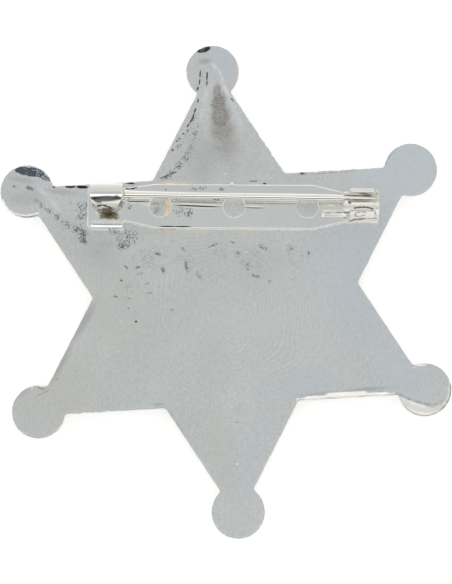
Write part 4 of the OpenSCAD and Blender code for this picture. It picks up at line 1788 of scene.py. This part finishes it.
    def rivet(self) -> Shell:
        """The rivet: its domed head keeps the needle's eye on, and its shank stands in the tab's wall.

        Returns:
            The closed surface.
        """
        r, head, ends = self.rivet_r, self.head_r, 0.05
        length = self.wall_v + self.sheet_t - self.head_v
        profile = [(0, 0)]
        for t in np.linspace(0.3, 1.5, 7):
            profile.append((0.6 * self.head_t * (1 - math.cos(t)), head * math.sin(t)))
        profile += [(self.head_t - 0.03, head), (self.head_t, head - 0.03), (self.head_t, r + 0.01),
                    (self.head_t + 0.02, r), (length - ends, r), (length - 0.4 * ends, 0.85 * r),
                    (length, 0.5 * r), (length, 0)]
        at = np.array([self.axle_u, self.head_v, self.axle_z])
        return lathe(profile, at, np.array([0.0, 1.0, 0.0]), 36)

    def build(self, flat: Piece, sheet: Piece, rivet: Piece) -> None:
        """Makes and dresses the bar's pieces.

        Args:
            flat: How the plate is finished.
            sheet: How the folded pieces are finished.
            rivet: How the rivet is finished.
        """
        flat.finish("bar_plate", self.plate())
        sheet.finish("hinge_tab", self.hinge_tab())
        sheet.finish("hinge_lip", self.hinge_lip())
        sheet.finish("catch_housing", *self.housing())
        rivet.finish("headed_rivet", self.rivet())


@dataclass
class Needle:
    """The pin: a flattened eye, the wire and its ground point."""

    radius: float = 0.4
    eye_u: float = -13.77
    eye_v: float = 1.09
    eye_w: float = 2.17
    eye_r: float = 1.05
    eye_bore: float = 0.3
    eye_t: float = 0.66
    wire_rise: float = 0.5
    root_from: float = 0.4
    root_round: float = 0.2
    root_extra: float = 0.1
    root_l: float = 2.1
    plain_end: float = 23.97
    ground_r: float = 0.3
    point_l: float = 1.5
    tip_r: float = 0.06
    length: float = 30.87
    yaw: float = math.radians(-0.607)
    dip: float = math.radians(0.098)

    def eye(self) -> Shell:
        """The flattened eye on the rivet.

        Returns:
            The closed surface.
        """
        rim = arc((0, 0), self.eye_r, 0, 352.5, 48)
        bore = arc((0, 0), self.eye_bore, 360, 15, 24)
        half = self.eye_t / 2
        sheet = Sheet([rim, bore], level(half), level(-half), 0.2, 0.2, 0.3)

        def place(points: Array, normals: Array) -> tuple[Array, Array]:
            """Stands the flat eye on its edge.

            Args:
                points: The flat eye's points.
                normals: Its normals.

            Returns:
                Both in the star's frame.
            """
            stand = np.array([[1.0, 0, 0], [0, 0, 1.0], [0, -1.0, 0]])
            at = np.array([self.eye_u, self.eye_v, self.eye_w])
            return BAR.to_star(points @ stand + at, normals @ stand)

        return sheet.build(place)

    def wire(self) -> Shell:
        """The wire, from the eye's rim to the point.

        Returns:
            The closed surface.
        """
        root = self.radius + self.root_extra
        ground = self.length - self.point_l
        profile = [(self.root_from, 0), (self.root_from, 0.6 * root), (self.root_from + 0.08, 0.9 * root),
                   (self.root_from + self.root_round, root)]
        slim = self.root_l - self.root_from - self.root_round
        for t in np.linspace(0.2, 1, 7):
            along = self.root_from + self.root_round + slim * t
            profile.append((along, root - self.root_extra * smooth(0, 1, t)))
        profile += [(u, self.radius) for u in np.linspace(self.root_l + 1, self.plain_end, 12)]
        for t in np.linspace(0.1, 1, 9):
            narrowed = self.radius + (self.ground_r - self.radius) * t * t * (3 - 2 * t)
            profile.append((self.plain_end + (ground - self.plain_end) * t, narrowed))
        for t in np.linspace(0.15, 1, 8):
            narrowed = self.ground_r + (self.tip_r - self.ground_r) * t ** 1.3
            profile.append((ground + self.point_l * t, narrowed))
        profile.append((self.length + 0.03, 0.0))
        way = np.array([math.cos(self.dip) * math.cos(self.yaw), math.cos(self.dip) * math.sin(self.yaw),
                        -math.sin(self.dip)])
        at = np.array([self.eye_u, self.eye_v, self.eye_w + self.wire_rise])
        return lathe(profile, at, way, 48)

    def build(self, finish: Piece) -> None:
        """Makes and dresses the needle."""
        finish.finish("needle_pin", self.wire(), self.eye())


@dataclass
class Catch:
    """The barrel that turns in the housing, with its rim, its lever and its nub."""

    barrel_r: float = 1.36
    bore: float = 0.98
    start_u: float = 13.15
    stop_u: float = 17.4
    rim_l: float = 0.45
    rim_extra: float = 0.2
    slot_from: float = -5.0
    slot_to: float = 60.0
    lever_u: float = 10.55
    lever_v: float = -0.98
    lever_w: float = 0.58
    lever_taper: float = 0.1
    lever_low: float = 0.55
    lever_high: float = 1.7
    collar_l: float = 0.75
    nub_r: float = 0.38
    nub_turn: float = -15.0
    axis_v: float = 0.2
    axis_w: float = 2.52

    def _strip(self, inner: float, outer: float, turns: tuple[float, float], span: tuple[float, float],
               round_r: float, corner: float) -> Shell:
        """A strip rolled round the catch's axis.

        Args:
            inner: Its inner radius.
            outer: Its outer radius.
            turns: Where it starts and stops, in degrees from straight up toward the top arm, falling.
            span: Where it starts and stops along the bar.
            round_r: How much its edges are rounded.
            corner: How much the corners of its outline are rounded.

        Returns:
            The closed surface.
        """
        middle = (inner + outer) / 2
        start = math.radians(turns[0])
        turn = turns[0] - turns[1]
        at = (self.axis_v + middle * math.sin(start), self.axis_w + middle * math.cos(start))
        fold = Fold(at, 180 - turns[0], [(middle * math.radians(turn), turn)])
        low, high = span
        outline = rounded([(0, low), (fold.length, low), (fold.length, high), (0, high)], corner, 0.14)
        return ribbon(fold, [outline], outer - inner, round_r, 0.14)

    def lever(self) -> Shell:
        """The flat lever beside the needle, a little narrower at its free end.

        Returns:
            The closed surface.
        """
        near, far = self.start_u + self.collar_l / 2, self.lever_u
        low, high = self.lever_v, self.lever_v + self.lever_w
        outline = rounded([(far, low), (near, low), (near, high), (far, high - self.lever_taper)], 0.09, 0.2)
        sheet = Sheet([outline], level(self.lever_high), level(self.lever_low), 0.1, 0.1, 0.16)
        return sheet.build(BAR.to_star)

    def nub(self) -> Shell:
        """The round nub that keeps the barrel in its housing.

        Returns:
            The closed surface.
        """
        turn = math.radians(self.nub_turn)
        way = np.array([0.0, math.sin(turn), math.cos(turn)])
        middle = np.array([self.start_u + self.collar_l / 2, self.axis_v, self.axis_w])
        at = middle + way * (self.barrel_r - 0.1)
        r = self.nub_r
        profile = [(0, 0), (0, 1.15 * r), (0.11, 1.12 * r), (0.14, r)]
        profile += [(0.14 + 0.9 * r * math.sin(t), r * math.cos(t)) for t in np.linspace(0.15, 1.45, 8)]
        profile.append((0.14 + 0.9 * r, 0))
        return lathe(profile, at, way, 28)

    def build(self, finish: Piece) -> None:
        """Makes and dresses the catch.

        Args:
            finish: How it is finished.
        """
        round_the_slot = (self.slot_from, self.slot_to - 360)
        barrel = self._strip(self.bore, self.barrel_r, round_the_slot,
                             (self.start_u, self.stop_u - 0.02), 0.1, 0.1)
        rim = self._strip(self.bore - 0.01, self.barrel_r + self.rim_extra, round_the_slot,
                          (self.stop_u - self.rim_l, self.stop_u), 0.1, 0.05)
        finish.finish("locking_catch", barrel, rim, self.lever(), self.nub())


@dataclass
class FluxBeads:
    """Flux that has set in a hole of the bar and along its edges, and a bead of solder."""

    hole_u: float = -8.9
    hole_r: float = 1.24
    inner_r: float = 1.16
    shift: float = 0.62
    belly: float = 0.24
    bar_half: float = 2.73
    solder_u: float = -0.27
    solder_r: float = 0.36
    solder_h: float = 0.42
    solder_foot: float = 0.06

    def crescent(self) -> Shell:
        """The crescent of flux in the first hole.

        Returns:
            The closed surface.
        """
        inner_mid = (self.hole_u - self.shift, 0.12)
        outer = arc((self.hole_u, 0), self.hole_r + 0.02, -86, 74, 40)
        a = outer[0] - np.array(inner_mid)
        b = outer[-1] - np.array(inner_mid)
        inner = arc(inner_mid, self.inner_r, math.degrees(math.atan2(b[1], b[0])),
                    math.degrees(math.atan2(a[1], a[0])), 30)
        radii = np.linspace(np.linalg.norm(b), np.linalg.norm(a), 30)
        radii = radii - self.belly * np.sin(np.linspace(0, math.pi, 30))
        inner = np.array(inner_mid) + (inner - np.array(inner_mid)) / self.inner_r * radii[:, None]
        loop = np.vstack((outer[1:-1], inner))

        def height(points: Array) -> Array:
            """Climbs toward the hole's wall."""
            from_wall = self.hole_r - np.hypot(points[:, 0] - self.hole_u, points[:, 1])
            return 0.05 + 0.27 * np.exp(-np.maximum(from_wall, 0) / 0.22)

        return Sheet([loop], height, level(0.005), 0.03, 0.005, 0.1).build(BAR.to_star)

    def edge_bead(self, start: float, stop: float, side: int, wide: float) -> Shell:
        """A bead of flux along one edge of the bar.

        Args:
            start: Where it starts along the bar.
            stop: Where it stops.
            side: 1 for the upper edge and -1 for the lower one.
            wide: How far it spreads from the edge.

        Returns:
            The closed surface.
        """
        t = np.linspace(0, 1, 40)
        u = start + (stop - start) * t
        bulge = wide * np.sin(math.pi * t) ** 0.5 * (0.9 + 0.1 * np.sin(17 * t + start))
        near = np.column_stack((u, np.full(len(u), self.bar_half - 0.05)))
        far = np.column_stack((u[::-1], (self.bar_half + 0.02 + bulge)[::-1]))
        loop = np.vstack((near[1:-1], far))
        if side < 0:
            loop = (loop * [1, -1])[::-1]

        def height(points: Array) -> Array:
            """Climbs toward the bar's edge."""
            return 0.03 + 0.15 * np.exp(-np.maximum(np.abs(points[:, 1]) - self.bar_half, 0) / (0.5 * wide))

        return Sheet([loop], height, level(0.005), 0.02, 0.005, 0.12).build(BAR.to_star)

    def solder(self) -> Shell:
        """The small bead of solder on the bar's upper edge.

        Returns:
            The closed surface.
        """
        r, high, foot = self.solder_r, self.solder_h, self.solder_foot
        profile = [(0, 0), (0, r * 1.15), (foot, r)]
        profile += [(foot + high * math.sin(t), r * math.cos(t)) for t in np.linspace(0.2, 1.45, 8)]
        profile.append((foot + high, 0))
        at = np.array([self.solder_u, self.bar_half + 0.02, 0.02])
        return lathe(profile, at, np.array([0.0, 0.15, 1.0]), 28)

    def build(self, flux: Piece, edge_flux: Piece, metal: Piece) -> None:
        """Makes and dresses the residue.

        Args:
            flux: How the flux in the hole is finished.
            edge_flux: How the flux along the edges is finished.
            metal: How the solder is finished.
        """
        upper = self.edge_bead(-9.6, -5.3, 1, 0.24)
        lower = self.edge_bead(-9.6, -7.0, -1, 0.2)
        flux.finish("hole_flux", self.crescent())
        edge_flux.finish("edge_flux", upper, lower)
        metal.finish("solder_bead", self.solder())


@dataclass(frozen=True)
class Card:
    """A soft-edged card in the light tent: where it starts and stops, and how soft its edges are.

    lean counts in degrees from straight up toward the lower arm; side goes from -1 at the left to 1.
    """

    lean: Triple
    side: Triple
    colour: Triple


@dataclass
class Studio:
    """The pale floor, a light tent and the camera."""

    sensor: float = 36.0
    floor_r: float = 2600.0
    floor_z: float = -0.01
    floor_glow: float = 0.4
    overhead: Card = Card((-15, 2, 7), (-0.2, 0.2, 0.16), (0.60, 0.62, 0.64))
    overhead_right: Triple = (0.61, 0.62, 0.61)
    key: Card = Card((10, 23, 4), (-0.5, 0.5, 0.12), (1.7, 1.69, 1.64))
    dark: Card = Card((38, 60, 5), (-0.75, 0.75, 0.15), (0.12, 0.11, 0.095))
    wall: Triple = (1.04, 1.03, 1.01)
    seen: float = 0.95

    def camera(self) -> None:
        """Places the camera at the photograph's angle."""
        right, up, back = (Vector(axis) for axis in PHOTO.axes())
        data = bpy.data.cameras.new("camera")
        data.sensor_width = self.sensor
        data.lens = self.sensor * PHOTO.distance / (PHOTO.height * PHOTO.lens_mm_per_px)
        data.clip_start = 0.01
        data.clip_end = 20.0
        made = bpy.data.objects.new("camera", data)
        turn = Matrix((right, up, back)).transposed().to_4x4()
        eye = (Vector(PHOTO.target()) + back * PHOTO.distance) * MM
        made.matrix_world = Matrix.Translation(eye) @ turn
        bpy.context.scene.collection.objects.link(made)
        bpy.context.scene.camera = made

    def floor(self) -> None:
        """Lays the floor just under the badge."""
        ring = arc((0, 0), self.floor_r, 0, 356.25, 96)
        points = np.column_stack((ring, np.full(len(ring), self.floor_z)))
        up = np.tile([0.0, 0.0, 1.0], (len(ring), 1))
        made = make_object("floor", [Shell(points, up, [tuple(range(len(ring)))])])
        material, tree = new_material("floor_paper")
        where = tree.millimetres()
        tone = tree.noise(where, 0.02, 2.0, 0.5)
        colour = tree.mix(tone, (0.90, 0.90, 0.895), (0.92, 0.92, 0.915))
        inputs = {"Base Color": colour, "Roughness": 0.9}
        inputs |= {"Emission Color": (1, 1, 1, 1), "Emission Strength": self.floor_glow}
        tree.surface(inputs)
        made.data.materials.append(material)

    def light(self) -> None:
        """Lights the scene with a tent that is bright round its sides and greyer overhead."""
        world = bpy.data.worlds.new("light_tent")
        world.use_nodes = True
        bpy.context.scene.world = world
        tree = Tree(world.node_tree)
        way = tree.node("ShaderNodeTexCoord", None, None, "Generated")
        x, y, z = (tree.node("ShaderNodeSeparateXYZ", None, {0: way}, name) for name in "XYZ")
        lean = (y * -1.0).angle(z)

        def box(value: Signal, low: float, high: float, soft: float) -> Signal:
            """1 between two values, easing to 0 outside them."""
            return value.ease(low - soft, low) * value.ease(high + soft, high)

        cards = (self.overhead, self.key, self.dark)
        overhead, key, dark = [box(lean, *card.lean) * box(x, *card.side) for card in cards]
        tent = tree.mix(x.ease(-0.6, 0.6), (0.86, 0.85, 0.815), (0.88, 0.855, 0.81))
        grey = tree.mix(x.ease(-0.2, 0.2), self.overhead.colour, self.overhead_right)
        colour = tree.mix(overhead, tent, grey)
        colour = tree.mix(key, colour, self.key.colour)
        colour = tree.mix(dark, colour, self.dark.colour)
        colour = tree.mix(lean.ease(60, 74).most(lean.ease(-60, -74)), colour, self.wall)
        shader = tree.node("ShaderNodeBackground", None, {"Color": colour, "Strength": 1.0})
        seen = tree.node("ShaderNodeBackground", None, {"Color": (self.seen,) * 3 + (1,), "Strength": 1.0})
        direct = tree.node("ShaderNodeLightPath", None, None, "Is Camera Ray")
        both = tree.node("ShaderNodeMixShader", None, {0: direct, 1: shader, 2: seen})
        tree.node("ShaderNodeOutputWorld", None, {"Surface": both})

    def build(self) -> None:
        """Makes the floor and the light, and sets how the picture is developed."""
        self.floor()
        self.light()
        view = bpy.context.scene.view_settings
        view.view_transform = "Standard"
        view.look = "None"
        view.exposure = 0.0
        view.gamma = 1.0


STAR_FINISH = Plating("star_plating", (0.745, 0.768, 0.765), (0.705, 0.722, 0.715), 0.24, STAR_MARKS,
                      grain=0.46, ripple=0.0005, ripple_tone=0.026, dents=0.016, dent_size=4.0,
                      shaded_rim=1.0, rim_marks=RIM_MARKS, marks_low=1.15)
BAR_FINISH = Plating("bar_nickel", (0.845, 0.855, 0.845), (0.805, 0.815, 0.80), 0.10,
                     BAR_MARKS + HOUSING_MARKS, dents=0.005, dent_size=2.5)
PLATE_FINISH = replace(BAR_FINISH, name="plate_nickel", marks=BAR_MARKS + HOUSING_MARKS + PLATE_MARKS,
                       edge_glint=0.9)
NEEDLE_FINISH = Plating("needle_steel", (0.88, 0.875, 0.86), (0.83, 0.82, 0.80), 0.09)
CATCH_FINISH = Plating("catch_nickel", (0.86, 0.85, 0.82), (0.79, 0.77, 0.74), 0.12, CATCH_MARKS,
                       dents=0.004, dent_size=1.2)
RIVET_FINISH = Plating("rivet_steel", (0.74, 0.73, 0.70), (0.62, 0.61, 0.58), 0.22)


def main() -> None:
    """Builds the badge and its studio, piece by piece."""
    logging.basicConfig(level=logging.INFO, format="%(message)s")
    studio = Studio()
    studio.camera()
    studio.build()
    bar_metal = BAR_FINISH.make()
    sheet = Piece(Body.BADGE, "bar_sheet", bar_metal, "brooch_bar")
    StarPlate().build(Piece(Body.BADGE, "star_plate", STAR_FINISH.make(), "star"))
    flat = Piece(Body.BADGE, "bar_sheet", PLATE_FINISH.make(), "brooch_bar")
    BroochBar().build(flat, sheet, Piece(Body.BADGE, "rivet_steel", RIVET_FINISH.make(), "hinge_rivet"))
    Needle().build(Piece(Body.PIN, "needle_wire", NEEDLE_FINISH.make(), "needle"))
    Catch().build(Piece(Body.CATCH, "catch_metal", CATCH_FINISH.make(), "catch_barrel"))
    edge_residue = Residue("edge_residue", (0.80, 0.74, 0.62), (0.62, 0.52, 0.36))
    fluxes = [Piece(Body.BADGE, "bar_sheet", residue.make()) for residue in (Residue(), edge_residue)]
    FluxBeads().build(*fluxes, Piece(Body.BADGE, "bar_sheet", bar_metal))


if __name__ == "__main__":
    main()
